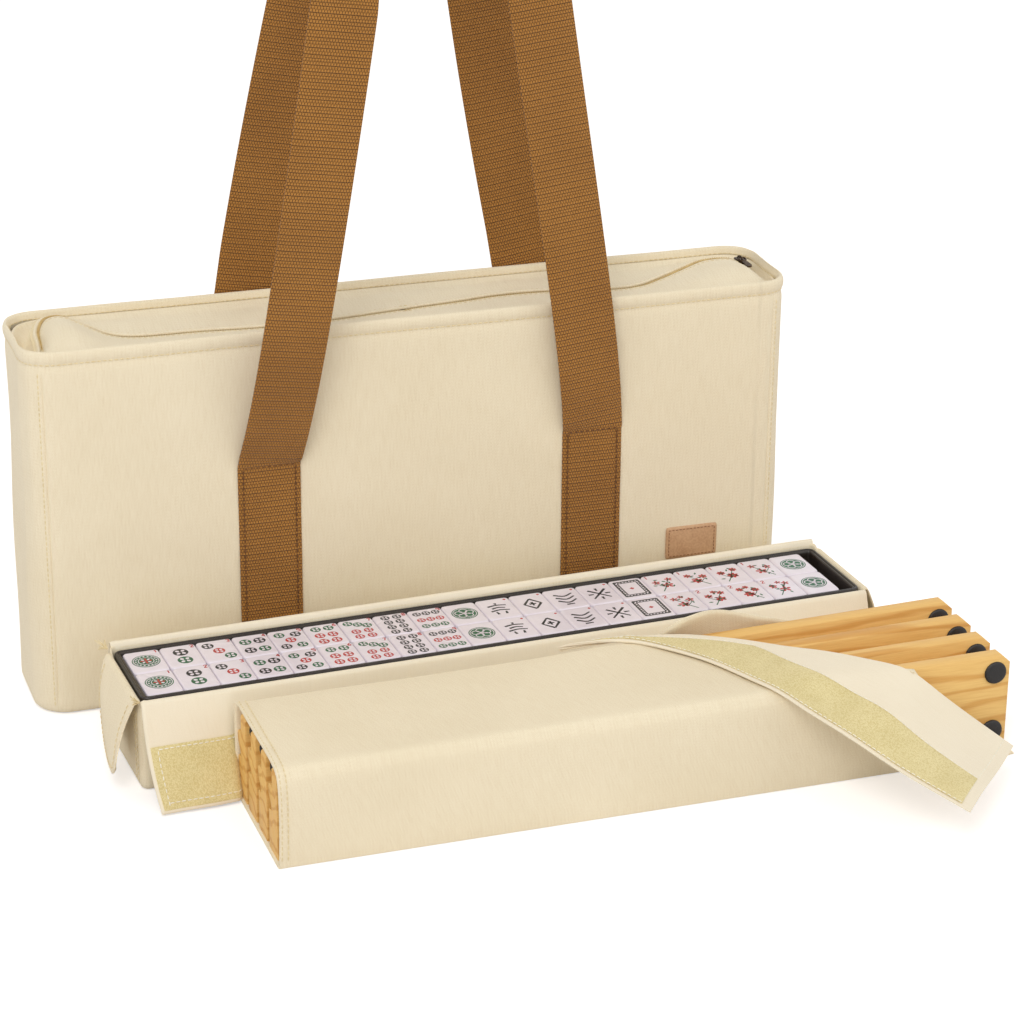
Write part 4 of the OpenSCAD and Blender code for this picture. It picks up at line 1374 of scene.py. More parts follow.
@dataclass
class Handle:
    """One carrying strap: sewn down two legs, and rising in a twisted loop between them."""

    name: str
    side: int
    half: float
    lean: float
    turn: float
    rolls: tuple[float, float]
    joint: Joint
    width: float = 39.0
    thick: float = 2.2
    span: float = 208.0
    shift: float = 6.5
    stitch_z: float = 151.0
    foot_z: float = 5.0
    leg_top: float = 435.0
    crown: float = 520.0
    face: float = 42.0
    stitch_in: float = 3.2
    free_z: float = 260.0

    def centre_line(self) -> Array:
        """Half of the loop as spread and height, from the stitching to the crown.

        Returns:
            Pairs of spread and height.
        """
        foot, top = np.array([self.span / 2, self.stitch_z + 0.3]), np.array([self.half, self.leg_top])
        fullness = 0.62
        a = top + unit(top - foot) * (self.crown - self.leg_top) * fullness
        b = np.array([self.half * fullness, self.crown])
        end = np.array([0, self.crown])
        legs = [foot + (top - foot) * t for t in np.linspace(0, 1, 60)]
        arc = [(1 - t) ** 3 * top + 3 * (1 - t) ** 2 * t * a + 3 * (1 - t) * t * t * b + t**3 * end
               for t in np.linspace(0, 1, 40)[1:]]
        return np.array(legs + arc)

    def grid(self) -> Array:
        """The strap's middle surface, rows along it and columns across it.

        Returns:
            The rows, from one sewn foot over the crown to the other.
        """
        half = self.centre_line()
        loop = np.vstack([half * [-1, 1], half[-2::-1]])
        z = loop[:, 1]
        free = self.stitch_z if self.side < 0 else self.free_z
        if self.side < 0:
            y = self.lean * (1 - np.exp(-(z - self.stitch_z) / (0.176 * (self.leg_top - self.stitch_z))))
        else:
            y = self.lean * (np.clip(z - free, 0, None) / (self.crown - free)) ** 2
        points = np.column_stack([self.shift + loop[:, 0], self.side * self.face - y, z])
        ahead = unit(np.gradient(points, axis=0))
        ahead[0], ahead[-1] = (0, 0, 1), (0, 0, -1)
        out = -unit(np.cross(ahead, [0, self.side, 0])) * self.side
        flat = unit(np.cross(out, ahead))
        start = self.leg_top - 4
        share = np.clip((z - free) / (self.leg_top - free), 0, 1)
        roll = share * np.interp(loop[:, 0], (-self.half, 0, self.half), (self.rolls[0], 0, -self.rolls[1]))
        twist = 90 * smooth((z - start) / (self.crown - start))
        a = np.radians(twist + self.side * roll)[:, None]
        normal = -flat * self.side * np.cos(a) + out * np.sin(a)
        across = np.cross(ahead, normal)
        spin = np.radians(self.turn * share)
        cols = np.linspace(-1, 1, 9)
        rows = []
        for p, w, m, r in zip(points, across, normal, spin):
            row = p + np.outer(cols * self.width / 2, w) + np.outer(0.35 * (cols**2 - 0.4), m)
            d = row - [self.shift, p[1], 0]
            x = self.shift + d[:, 0] * math.cos(r) - d[:, 1] * math.sin(r)
            y = p[1] + d[:, 0] * math.sin(r) + d[:, 1] * math.cos(r)
            rows.append(np.column_stack([x, y, row[:, 2]]))
        loop_rows = np.array(rows)
        sewn = self.side * (self.face - 0.55)

        def leg(first: Array) -> Array:
            """The sewn part below one end of the loop.

            Args:
                first: The loop's row at this end.

            Returns:
                Rows from the foot up.
            """
            heights = np.linspace(self.foot_z, self.stitch_z - 2.2, 34)
            grid = np.repeat(first[None], len(heights), 0)
            grid[..., 2] = heights[:, None]
            wave = 0.12 * np.sin(heights * 0.13 + first[0, 0])
            grid[..., 1] = sewn + self.side * wave[:, None]
            return grid

        return np.vstack([leg(loop_rows[0]), loop_rows, leg(loop_rows[-1])[::-1]])

    def runs(self) -> list[tuple[Array, Array]]:
        """Lines of stitches: a box on each sewn leg.

        Returns:
            Pairs of points and outward normals.
        """
        runs = []
        out = np.array([0, self.side, 0.0])
        y = self.side * (self.face + 0.62)
        for leg in (-1, 1):
            x, half = self.shift + leg * self.span / 2, self.width / 2 - self.stitch_in
            zs = np.arange(self.foot_z + 3, self.stitch_z - 0.5, 3.0)
            lines = [level_line(np.full(len(zs), x + edge * half), y, zs) for edge in (-1, 1)]
            xs = np.linspace(x - half, x + half, 12)
            lines += [level_line(xs, y, z) for z in (self.stitch_z - 1.2, self.foot_z + 3.5)]
            runs += [(line, np.repeat(out[None], len(line), 0)) for line in lines]
        return runs

    def build(self) -> None:
        """Makes the strap and its stitching."""
        grid = self.grid()
        strap = cloth_piece(f"{self.name}_webbing", grid, self.thick, STRAP)
        thread = stitch_piece(f"{self.name}_stitching", self.runs(), BROWN_THREAD, radius=0.42, lift=0.1)
        low, high = ([self.shift, self.side * self.face, self.stitch_z + d] for d in (-3.5, 6))
        self.joint.bend(strap, low, high)
        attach(thread, "tote")
        declare_sheet(grid, [thread])
        word = "front" if self.side < 0 else "back"
        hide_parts(f"{word}_handle", f"{word}_strap_left", f"{word}_strap_right")


@dataclass
class Patch:
    """A bare leather patch sewn low on the front."""

    x: float = 180.0
    z: float = 65.0
    width: float = 35.0
    height: float = 22.0
    thick: float = 1.2
    face: float = 40.5

    def build(self) -> None:
        """Makes the leather with softened edges, and its border stitching."""
        rows, cols = 23, 35
        xs, zs = np.linspace(-1, 1, cols), np.linspace(-1, 1, rows)
        gx, gz = np.meshgrid(xs, zs)
        edge = 0.35 * np.maximum(np.abs(gx), np.abs(gz)) ** 14
        wave = 0.12 * np.sin(gx * 3 + gz * 2)
        pinch = 1 - 0.035 * (gx**8 * gz**8)
        grid = np.stack([self.x + gx * self.width / 2 * pinch, -self.face - self.thick / 2 + edge + wave,
                         self.z + gz * self.height / 2 * pinch], -1)
        patch = cloth_piece("leather_patch_face", grid, self.thick, LEATHER)
        w, h = self.width / 2 - 2.0, self.height / 2 - 2.0
        box = np.array([(-w, -h), (w, -h), (w, h), (-w, h), (-w, -h)])
        line = np.vstack([np.linspace(a, b, 12) for a, b in zip(box, box[1:])])
        path = level_line(self.x + line[:, 0], -self.face - self.thick - 0.05, self.z + line[:, 1])
        run = (path, np.repeat([[0, -1.0, 0]], len(path), 0))
        thread = stitch_piece("leather_patch_stitching", [run], TAN_THREAD, pitch=2.4, length=1.7,
                              radius=0.26)
        for piece in (patch, thread):
            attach(piece, "tote")
        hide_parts("leather_patch")


# --- the tile case ---

CASE = Place(-198.2, -145.33, 2.5)
POUCH = Place(-149.3, -265.23, 0.4)


def rounded_ring(low: Sequence[float], high: Sequence[float], radius: float, step: float = 4.0,
                 arc: int = 6) -> tuple[Array, Array]:
    """A rectangle with round corners.

    Args:
        low: Its lowest corner.
        high: Its highest corner.
        radius: The corners' radius.
        step: Distance between points on its sides.
        arc: Points on each quarter round.

    Returns:
        Points in order and their outward normals.
    """
    (x0, y0), (x1, y1) = low, high
    corners = [(x1 - radius, y0 + radius, -90), (x1 - radius, y1 - radius, 0),
               (x0 + radius, y1 - radius, 90), (x0 + radius, y0 + radius, 180)]
    points, normals = [], []
    for k, (cx, cy, start) in enumerate(corners):
        for deg in np.linspace(start, start + 90, arc + 1):
            n = np.array([math.cos(math.radians(deg)), math.sin(math.radians(deg))])
            points.append(np.array([cx, cy]) + n * radius)
            normals.append(n)
        nx, ny, _ = corners[(k + 1) % 4]
        a = points[-1]
        b = np.array([nx, ny]) + n * radius
        count = max(1, int(np.linalg.norm(b - a) / step))
        for t in np.arange(1, count) / count:
            points.append(a + (b - a) * t)
            normals.append(n)
    return np.array(points), np.array(normals)


@dataclass
class TileCase:
    """The lined canvas case that the trays stand in, with its four hanging flaps."""

    left: float = -7.0
    right: float = 460.6
    front: float = -7.0
    back: float = 67.6
    top: float = 56.4
    back_top: float = 61.3

    def shell(self) -> bpy.types.Object:
        """The base and the four walls in one piece of lined canvas.

        Returns:
            The piece.
        """
        xy, n = rounded_ring((self.left, self.front), (self.right, self.back), 5.0, 5.0)
        rise = smooth((xy[:, 1] - self.back + 9) / 6)
        top = self.top + (self.back_top - self.top) * rise + 0.5 * np.sin(xy[:, 0] * 0.05) * (1 - 0.5 * rise)
        run = run_length(xy)
        base, share, rim = range(3)
        rows = [(-6, 0.0, base), (-2.4, 0.3, base), (-0.7, 1.5, base), (0, 4, base), (0.2, 10, base),
                (0.5, 0.35, share), (0.6, 0.6, share), (0.3, 0.85, share), (0, -3, rim), (-0.05, -1.2, rim),
                (-0.5, -0.3, rim), (-1.0, 0, rim), (-1.6, -0.35, rim), (-2.0, -1.4, rim), (-2.1, -6, rim),
                (-2.1, 0.5, share), (-2.1, 3, base), (-2.6, 2.0, base)]
        rings, uv, length = [], [], 0.0
        for d, z, kind in rows:
            height = {base: np.full(len(xy), z, float), share: top * z, rim: top + z}[kind]
            soft = (0.45 * np.sin(xy[:, 0] * 0.037 + z * 0.7)
                    + 0.3 * np.sin(xy[:, 0] * 0.11 + xy[:, 1] * 0.2))
            grow = d + (soft if d > -1 and kind != base else 0)
            ring = np.column_stack([xy + n * np.reshape(grow, (-1, 1)), height])
            length += float(np.linalg.norm(ring[0] - rings[-1][0])) if rings else 0
            rings.append(ring)
            uv.append(np.column_stack([run * MM, np.full(len(xy), length * MM)]))
        count = len(xy)
        faces = grid_faces(len(rings), count, round_cols=True)
        faces += [tuple(range(count)), tuple((len(rings) - 1) * count + q for q in range(count))]
        shell = mesh_piece("tile_case_shell", np.vstack(rings), faces, CASE_CANVAS, CASE, np.vstack(uv),
                           sharp=70)
        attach(shell, "tile_case")
        walls = [f"case_{side}_wall" for side in ("front", "back", "left", "right")]
        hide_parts("case_base", *walls)
        runs, proud = [], 0.7
        zs = np.arange(5, self.top - 3, 3.5)
        for x, y, out in ((self.left - proud, -2.5, -1), (self.left - proud, 2.0, -1),
                          (self.right + proud, -2.5, 1)):
            runs.append((level_line(x, y, zs), np.repeat([[out, 0, 0.0]], len(zs), 0)))
        us = np.arange(0, self.right - 6, 6.0)
        runs.append((level_line(us, self.back - 1.0, self.back_top + 0.3),
                     np.repeat([[0, 0, 1.0]], len(us), 0)))
        thread = stitch_piece("tile_case_stitching", runs, CREAM_THREAD, CASE, radius=0.28)
        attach(thread, "tile_case")
        return shell

    def front_flap(self) -> None:
        """The front flap: it comes over the wall's edge, hangs down and its free corner stands out."""
        end = 459.5
        us = np.concatenate([np.arange(-6.0, 60, 2.0), np.arange(60, end, 5.0), [end]])
        reach = 12 + 19 * (1 - smooth((us - 42) / 9)) + 5 * smooth((us - 200) / 180)
        swell = 1.5 + 5.5 * smooth((us - 230) / 150) * smooth((462 - us) / 14)
        rows, drop = [], self.top + 1.4
        for d, z in ((1.9, -2.5), (1.0, 0.6), (-0.2, 1.7), (-1.4, 1.3)):
            rows.append(level_line(us, self.front + d, self.top + z))
        for t in np.concatenate([np.linspace(0.03, 0.36, 9), np.linspace(0.4, 1, 22)]):
            v = self.front - 1.8 - reach * t**1.12 - swell * math.sin(math.pi * min(1, t * 1.1)) ** 1.3
            v += 0.5 * np.sin(us * 0.05 + t * 4) * t + 0.25 * np.sin(us * 0.17) * t
            u = us + np.clip(1 - (us + 6) / 40, 0, 1) * (2.0 * t - 3.0 * math.sin(math.pi * t) * 0.6)
            rows.append(np.column_stack([u, v, drop + (1.2 - drop) * t + 0.4 * np.sin(us * 0.03) * t]))
        grid = np.array(rows)
        flap = cloth_piece("case_front_flap_cloth", grid, 1.1, LINING, CASE,
                           hem=0.35, hem_in=4, hem_sides="bc")
        low = next(i for i in range(len(rows)) if rows[i][0, 2] < 36.5)
        normal = grid_normals(grid)
        normal *= np.sign(-normal[..., 1:2])
        inner = (grid + normal * 1.0)[low:-1, 1:-1]
        band = cloth_piece("case_front_loop_band", inner, 0.8, LOOPS, CASE,
                           hem=0.12, hem_in=2, hem_sides="abcd")
        up = (grid + normal * 1.55)
        left = up[low + 1:-2, 3]
        thread = stitch_piece("case_front_flap_stitching",
                              [(left, normal[low + 1:-2, 3]), (up[-4, 3:-3], normal[-4, 3:-3]),
                               (up[low + 1, 3:-3], normal[low + 1, 3:-3])], WHITE_THREAD, CASE, radius=0.3)
        Joint.CASE_FRONT.bend(flap, *(CASE([200, self.front, self.top + d]) for d in (1.6, -7)))
        for piece in (band, thread):
            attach(piece, "tile_case_front")
        declare_sheet(grid, [band, thread])
        declare_sheet(inner)
        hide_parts("case_front_flap")
        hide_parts("case_loop_band")

    def back_flap(self) -> None:
        """The back flap, which hangs behind the case with the hook band inside it."""
        us = np.concatenate([np.arange(-5.0, 40, 3.0), np.arange(40, 459, 7.0), [459.0]])
        reach = 5.5 + 4.5 * (1 - smooth((us - 5) / 60))
        rows = [level_line(us, self.back + d, self.back_top + z)
                for d, z in ((-1.9, -2.5), (-1.0, 0.8), (0.2, 1.6), (1.3, 1.2))]
        hem_z = 20
        for t in np.linspace(0.04, 1, 20):
            v = self.back + 1.7 + reach * math.sin(math.pi * 0.62 * t) + 0.5 * np.sin(us * 0.04 + t * 3) * t
            z = self.back_top + 1 + (hem_z - self.back_top) * t + 1.2 * np.sin(us * 0.02 + 2) * t
            rows.append(np.column_stack([us, v, z]))
        grid = np.array(rows)
        flap = cloth_piece("case_back_flap_cloth", grid, 1.1, LINING, CASE,
                           hem=0.3, hem_in=4, hem_sides="bcd")
        normal = grid_normals(grid)
        normal *= np.sign(-normal[..., 1:2])
        inner = (grid + normal * 0.95)[13:-1, 1:-1]
        band = cloth_piece("case_back_hook_band", inner, 0.7, HOOKS, CASE)
        Joint.CASE_BACK.bend(flap, *(CASE([200, self.back, self.back_top + d]) for d in (1.5, -7)))
        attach(band, "tile_case_back")
        declare_sheet(grid, [band])
        declare_sheet(inner)
        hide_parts("case_back_flap")
        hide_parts("case_hook_band")

    def end_flap(self, side: int) -> None:
        """Makes a petal-shaped flap that hangs from one end.

        Args:
            side: -1 at the left and 1 at the right.
        """
        wall = self.left if side < 0 else self.right
        word = "left" if side < 0 else "right"
        s = np.linspace(0, 1, 26)
        v_top = -5.6 + s * 68.6
        ends = (2 * s - 1) ** 4
        foot_v = (-10.6 + s * 57) if side < 0 else (-3 + s * 62)
        foot_z = (7 + 11 * s + 12 * ends) if side < 0 else (10 + 8 * ends)
        foot_out = (15.5 - 7 * s) if side < 0 else (9.0 - 1.5 * s)
        belly = 3.4 if side < 0 else 5.0
        rows = [level_line(wall - side * d, v_top, self.top + z)
                for d, z in ((1.9, -2.5), (1.0, 0.6), (-0.2, 1.7), (-1.3, 1.3))]
        for t in np.concatenate([np.linspace(0.04, 0.3, 7), np.linspace(0.36, 1, 17)]):
            ease = smooth(t)
            out = 1.6 + foot_out * t + belly * math.sin(math.pi * t) * (1 - 0.5 * ends)
            v = v_top * (1 - ease) + foot_v * ease
            z = self.top + 1.2 + (foot_z - self.top) * t
            rows.append(np.column_stack([wall + side * (out + 0.4 * np.sin(s * 7 + t * 5) * t), v, z]))
        grid = np.array(rows)
        flap = cloth_piece(f"case_{word}_flap_cloth", grid, 1.3, CASE_CANVAS, CASE,
                           hem=0.45, hem_in=3.2, hem_sides="bcd")
        normal = grid_normals(grid)
        normal *= np.sign(normal[..., :1]) * side
        face = grid + normal * 1.1
        border = np.vstack([face[5:-2, 2], face[-3, 2:-2], face[5:-2, -3][::-1]])
        facing = np.vstack([normal[5:-2, 2], normal[-3, 2:-2], normal[5:-2, -3][::-1]])
        thread = stitch_piece(f"case_{word}_flap_stitching", [(border, facing)], CREAM_THREAD, CASE,
                              radius=0.28)
        joint = Joint.CASE_LEFT if side < 0 else Joint.CASE_RIGHT
        joint.bend(flap, *(CASE([wall, 30, self.top + d]) for d in (1.6, -7)))
        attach(thread, f"tile_case_{word}")
        declare_sheet(grid, [thread])
        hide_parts(f"case_{word}_flap")

    def tufts(self) -> None:
        """Loose threads at the two left corners, where the seam allowances fray."""
        rng = np.random.default_rng(7)
        heap = Heap()
        for at in ((-6.0, -6.5, 57.5), (-7.0, 66.0, 60.0)):
            for _ in range(11):
                a = rng.uniform(2.2, 4.4) if at[1] < 0 else rng.uniform(1.6, 3.6)
                lift = rng.uniform(0.1, 0.9)
                reach = rng.uniform(3.0, 7.0)
                out = np.array([math.cos(a), math.sin(a), lift])
                bend = rng.uniform(-0.5, 0.5, 3)
                line = [np.array(at) + out * reach * t + bend * 4 * t * t for t in np.linspace(0, 1, 6)]
                heap.add(tube(np.array(line), rng.uniform(0.22, 0.36), 5))
        tuft = heap.piece("case_corner_threads", CREAM_THREAD, CASE)
        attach(tuft, "tile_case")

    def build(self) -> None:
        """Makes the case and its flaps."""
        self.shell()
        self.front_flap()
        self.back_flap()
        self.end_flap(-1)
        self.end_flap(1)
        self.tufts()


# --- trays and tiles ---


@dataclass
class Tray:
    """A moulded tray with a rounded double rim."""

    level: int
    body: str
    low: tuple[float, float] = (-4.4, -4.4)
    high: tuple[float, float] = (458.0, 65.0)
    height: float = 13.9
    pitch: float = 14.2
    first_z: float = 2.2

    def build(self) -> None:
        """Makes the tray around its CAD place."""
        z0 = self.first_z + (self.level - 1) * self.pitch
        top = z0 + self.height
        foot = [(1.4, 0), (0.4, 0.35), (0.05, 1.2)]
        rim = [(0, 3.2), (0, 1.7), (0.15, 0.8), (0.55, 0.2), (1.1, 0), (1.65, 0.15), (2.0, 0.55), (2.3, 0.75),
               (2.65, 0.6), (3.1, 0.5), (3.6, 0.8), (3.85, 1.5), (3.95, 3)]
        floor = [(4.0, 1.9), (4.3, 1.25), (5.0, 1.0)]
        rows = [(d, z0 + z) for d, z in foot] + [(d, top - z) for d, z in rim]
        rows += [(d, z0 + z) for d, z in floor]
        rings = []
        for d, z in rows:
            low, high = np.array(self.low) + d, np.array(self.high) - d
            ring, _ = rounded_ring(low, high, max(1.4, 5 - d * 0.9), 12.0, 8)
            rings.append(level_line(ring[:, 0], ring[:, 1], z))
        count = len(rings[0])
        faces = grid_faces(len(rings), count, round_cols=True)
        faces += [tuple(range(count)), tuple((len(rings) - 1) * count + q for q in range(count))]
        tray = mesh_piece(f"tray_{self.level}_moulding", np.vstack(rings), faces, PLASTIC, CASE,
                          sharp=50)
        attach(tray, self.body)
        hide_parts(f"tray_{self.level}")


class Ink(Enum):
    """The colours inlaid in a tile, as material slots of its marks."""

    BLACK = 0
    GREEN = 1
    RED = 2
    WHITE = 3


@dataclass
class TileMarks:
    """Draws the inlaid marks of one tile into a heap."""

    heap: Heap
    x: float
    y: float
    z: float

    def flat(self, outline: Array, ink: Ink, level: int = 0) -> None:
        """A closed plate with the given outline, round the tile's middle.

        Args:
            outline: Its corners in order.
            ink: Its colour.
            level: Its layer, 0 for the lowest.
        """
        high = 0.05 + 0.05 * level
        points, faces = prism(np.asarray(outline) + [self.x, self.y], self.z - 0.15, self.z + high)
        self.heap.add((points, faces), ink.value)

    def disc(self, x: float, y: float, r: float, ink: Ink, level: int = 0, sides: int = 16,
             squash: float = 1.0, turn: float = 0.0) -> None:
        """A round or oval plate.

        Args:
            x: Its middle.
            y: Its middle.
            r: Its longer radius.
            ink: Its colour.
            level: Its layer.
            sides: Points round it.
            squash: Its shorter radius as a share.
            turn: Its turn in radians.
        """
        a = np.arange(sides) * 2 * math.pi / sides
        p = np.column_stack([r * np.cos(a), r * squash * np.sin(a)])
        c, s = math.cos(turn), math.sin(turn)
        self.flat(p @ np.array([[c, s], [-s, c]]) + [x, y], ink, level)

    def stroke(self, line: Sequence[Sequence[float]], width: float, ink: Ink, taper: float = 0.0,
               level: int = 0) -> None:
        """A brush stroke along a line, which may narrow towards its end.

        Args:
            line: Its points.
            width: Its width at the start.
            ink: Its colour.
            taper: The share of the width that is lost at its end.
            level: Its layer.
        """
        line = spline(line, 9) if len(line) > 2 else resample(np.array(line, float), 3)
        ahead = unit(np.gradient(line, axis=0))
        side = np.column_stack([-ahead[:, 1], ahead[:, 0]])
        half = width / 2 * (1 - taper * np.linspace(0, 1, len(line)))[:, None]
        self.flat(np.vstack([line + side * half, (line - side * half)[::-1]]), ink, level)

    def ring(self, r: float, width: float, ink: Ink, sides: int = 28, x: float = 0, y: float = 0,
             level: int = 0) -> None:
        """A thin ring, as a closed band.

        Args:
            r: The radius of its middle.
            width: Its width.
            ink: Its colour.
            sides: Pieces round it.
            x: Its middle.
            y: Its middle.
            level: Its layer.
        """
        a = np.linspace(0, 2 * math.pi, sides + 1)
        outer = np.column_stack([x + (r + width / 2) * np.cos(a), y + (r + width / 2) * np.sin(a)])
        inner = np.column_stack([x + (r - width / 2) * np.cos(a), y + (r - width / 2) * np.sin(a)])
        for k in range(sides):
            self.flat([outer[k], outer[k + 1], inner[k + 1], inner[k]], ink, level)

    def dot(self, x: float, y: float, r: float, ink: Ink) -> None:
        """A counting dot with four pale petals.

        Args:
            x: Its middle.
            y: Its middle.
            r: Its radius.
            ink: Its colour.
        """
        self.disc(x, y, r, ink)
        for k in range(4):
            a = math.pi / 4 + k * math.pi / 2
            self.disc(x + 0.5 * r * math.cos(a), y + 0.5 * r * math.sin(a), 0.3 * r, Ink.WHITE, 1, 7, 0.8, a)

    def numeral(self, number: int, x: float, y: float, size: float = 3.6) -> None:
        """A small plain numeral.

        Args:
            number: 1 to 9.
            x: Its middle.
            y: Its middle.
            size: Its height.
        """
        h, w = size / 2, size * 0.28
        hook = [(-w, h * 0.8), (0, h), (w, h * 0.5), (0, 0.05)]
        forms = {
            1: [[(-w / 2, h * 0.6), (0, h), (0, -h)]],
            2: [[(-w, h * 0.6), (0, h), (w, h * 0.5), (0, -h * 0.2), (-w, -h)], [(-w, -h), (w, -h)]],
            3: [hook, [(0, 0.05), (w, -h * 0.5), (0, -h), (-w, -h * 0.8)]],
            4: [[(0.4 * w, h), (-w, -h * 0.3)], [(-w, -h * 0.3), (w, -h * 0.3)],
                [(0.5 * w, h), (0.5 * w, -h)]],
            5: [[(w, h), (-w, h)], [(-w, h), (-w, h * 0.1)],
                [(-w, h * 0.1), (w * 0.6, h * 0.2), (w, -h * 0.4), (0, -h), (-w, -h * 0.8)]],
            6: [[(w * 0.7, h), (-w, 0), (-w, -h * 0.6), (0, -h), (w, -h * 0.5), (0.2 * w, h * 0.05),
                 (-w, -h * 0.3)]],
            7: [[(-w, h), (w, h)], [(w, h), (-w * 0.3, -h)]],
            8: [[(0, 0.1), (-w, h * 0.5), (0, h), (w, h * 0.5), (0, 0.1)],
                [(0, 0), (-w, -h * 0.5), (0, -h), (w, -h * 0.5), (0, 0)]],
            9: [[(w, h * 0.4), (0, 0), (-w, h * 0.5), (0, h), (w, h * 0.5), (w * 0.7, -h)]]}
        for line in forms[number]:
            self.stroke([(x + a, y + b) for a, b in line], 0.7, Ink.RED)

    def wheel(self, ink: Ink, centre: Ink) -> None:
        """The single large dot: a dark disc with pale rings, beads and a rosette.

        Args:
            ink: The disc's colour.
            centre: The colour of its middle and of every other petal.
        """
        self.disc(0, 0, 8.5, ink, 0, 32)
        self.ring(7.6, 0.5, Ink.WHITE, level=1)
        for k in range(16):
            a = k * math.pi / 8
            self.disc(6.2 * math.cos(a), 6.2 * math.sin(a), 0.62, Ink.WHITE, 1, 7)
        self.disc(0, 0, 4.9, Ink.WHITE, 1, 24)
        self.disc(0, 0, 4.4, ink, 2, 24)
        for k in range(8):
            a = k * math.pi / 4
            petal = Ink.WHITE if k % 2 else centre
            self.disc(2.5 * math.cos(a), 2.5 * math.sin(a), 1.2, petal, 3, 8, 0.6, a)
        self.disc(0, 0, 1.0, centre, 4, 10)

    def medallion(self, ink: Ink) -> None:
        """A dark disc with a border and five linked pale rings.

        Args:
            ink: The disc's colour.
        """
        self.disc(0, 0, 8.2, ink, 0, 32)
        self.ring(7.3, 0.45, Ink.WHITE, level=1)
        for k in range(5):
            a = k * 2 * math.pi / 5 + 0.3
            self.ring(2.5, 0.6, Ink.WHITE, 14, 3.6 * math.cos(a), 3.6 * math.sin(a), level=1)
        self.disc(0, 0, 1.1, Ink.WHITE, 1, 10)

    def flower(self, x: float, y: float, r: float, petals: int = 6) -> None:
        """A plain open blossom.

        Args:
            x: Its middle.
            y: Its middle.
            r: Its radius.
            petals: How many petals it has.
        """
        for k in range(petals):
            a = k * 2 * math.pi / petals + 0.3
            px, py = x + 0.62 * r * math.cos(a), y + 0.62 * r * math.sin(a)
            self.disc(px, py, 0.42 * r, Ink.RED, 0, 8, 0.66, a)
        self.disc(x, y, 0.26 * r, Ink.GREEN, 1, 7)

    def leaf(self, x: float, y: float, length: float, turn: float) -> None:
        """A pointed leaf.

        Args:
            x: Its foot.
            y: Its foot.
            length: Its length.
            turn: Its turn in radians.
        """
        c, s = math.cos(turn), math.sin(turn)
        p = np.array([(0, 0), (0.35, 0.2), (0.7, 0.17), (1, 0), (0.7, -0.17), (0.35, -0.2)]) * length
        self.flat(p @ np.array([[c, s], [-s, c]]) + [x, y], Ink.GREEN)

    def draw(self, column: int, number: int) -> None:
        """Draws one tile's marks.

        Args:
            column: The tile's column, from 0 at the left.
            number: Its number within the column, 1 or 2.
        """
        g, k, r = Ink.GREEN, Ink.BLACK, Ink.RED
        ladder = [10.4 - 6.9 * j for j in range(4)]
        grids = {
            1: (5.0, [(0, 5.6, k), (0, -5.6, g)]),
            2: (3.9, [(-5.2, 8.2, k), (0, 0, r), (5.2, -8.2, g)]),
            3: (4.0, [(-4.7, 6, g), (4.7, 6, k), (-4.7, -6, k), (4.7, -6, g)]),
            4: (3.6, [(-5.3, 8.2, g), (5.3, 7.2, k), (0, 0, r), (-5.3, -8.2, k), (5.3, -8.2, g)]),
            5: (3.5, [(x, y, ink) for y, ink in ((8.8, g), (-0.4, r), (-8.8, r)) for x in (-4.3, 4.3)]),
            6: (3.2, [(-6, 10, g), (0, 7.4, g), (5.6, 4.8, g),
                      *[(x, y, r) for y in (-2.2, -9.6) for x in (-4.2, 4.2)]]),
            7: (3.1, [(x, y, k) for x in (-4, 4) for y in ladder]),
            8: (2.9, [(x, y, ink) for y, ink in ((9, k), (0, r), (-9, g)) for x in (-6.4, 0, 6.4)])}
        if column == 0:
            self.wheel(g, r)
        elif column in grids:
            size, dots = grids[column]
            for x, y, ink in dots:
                self.dot(x * 0.94, y - 0.6, size * 0.94, ink)
        if column <= 8:
            self.numeral(column + 1, 8.6, 11.6, 3.4)
        elif column in (9, 19):
            self.medallion(g)
        elif column in (10, 11, 12, 13):
            self.brush(column - 10)
            self.disc(7.8, 11.4, 1.1, r, 0, 4)
        elif column == 14:
            self.border()
        else:
            self.numeral(number, -8.2, 11.2, 3.6)
            self.garden(column - 15, number)

    def border(self) -> None:
        """A double frame with a row of beads between its lines, round a small diamond."""
        k = Ink.BLACK
        for w, h, thick in ((8.2, 11.2, 1.1), (6.2, 9.0, 0.8)):
            corners = ((-w, -h), (w, -h), (w, h), (-w, h), (-w, -h))
            for a, b in zip(corners, corners[1:]):
                self.stroke([a, b], thick, k)
        for y in np.linspace(-9.89, 9.89, 9):
            for x in (-7.3, 7.3):
                self.disc(x, y, 0.7, k, 0, 4)
        for x in np.linspace(-5.4, 5.4, 6):
            for y in (-10.2, 10.2):
                self.disc(x, y, 0.7, k, 0, 4)
        self.disc(0, 0, 1.6, Ink.RED, 0, 4)

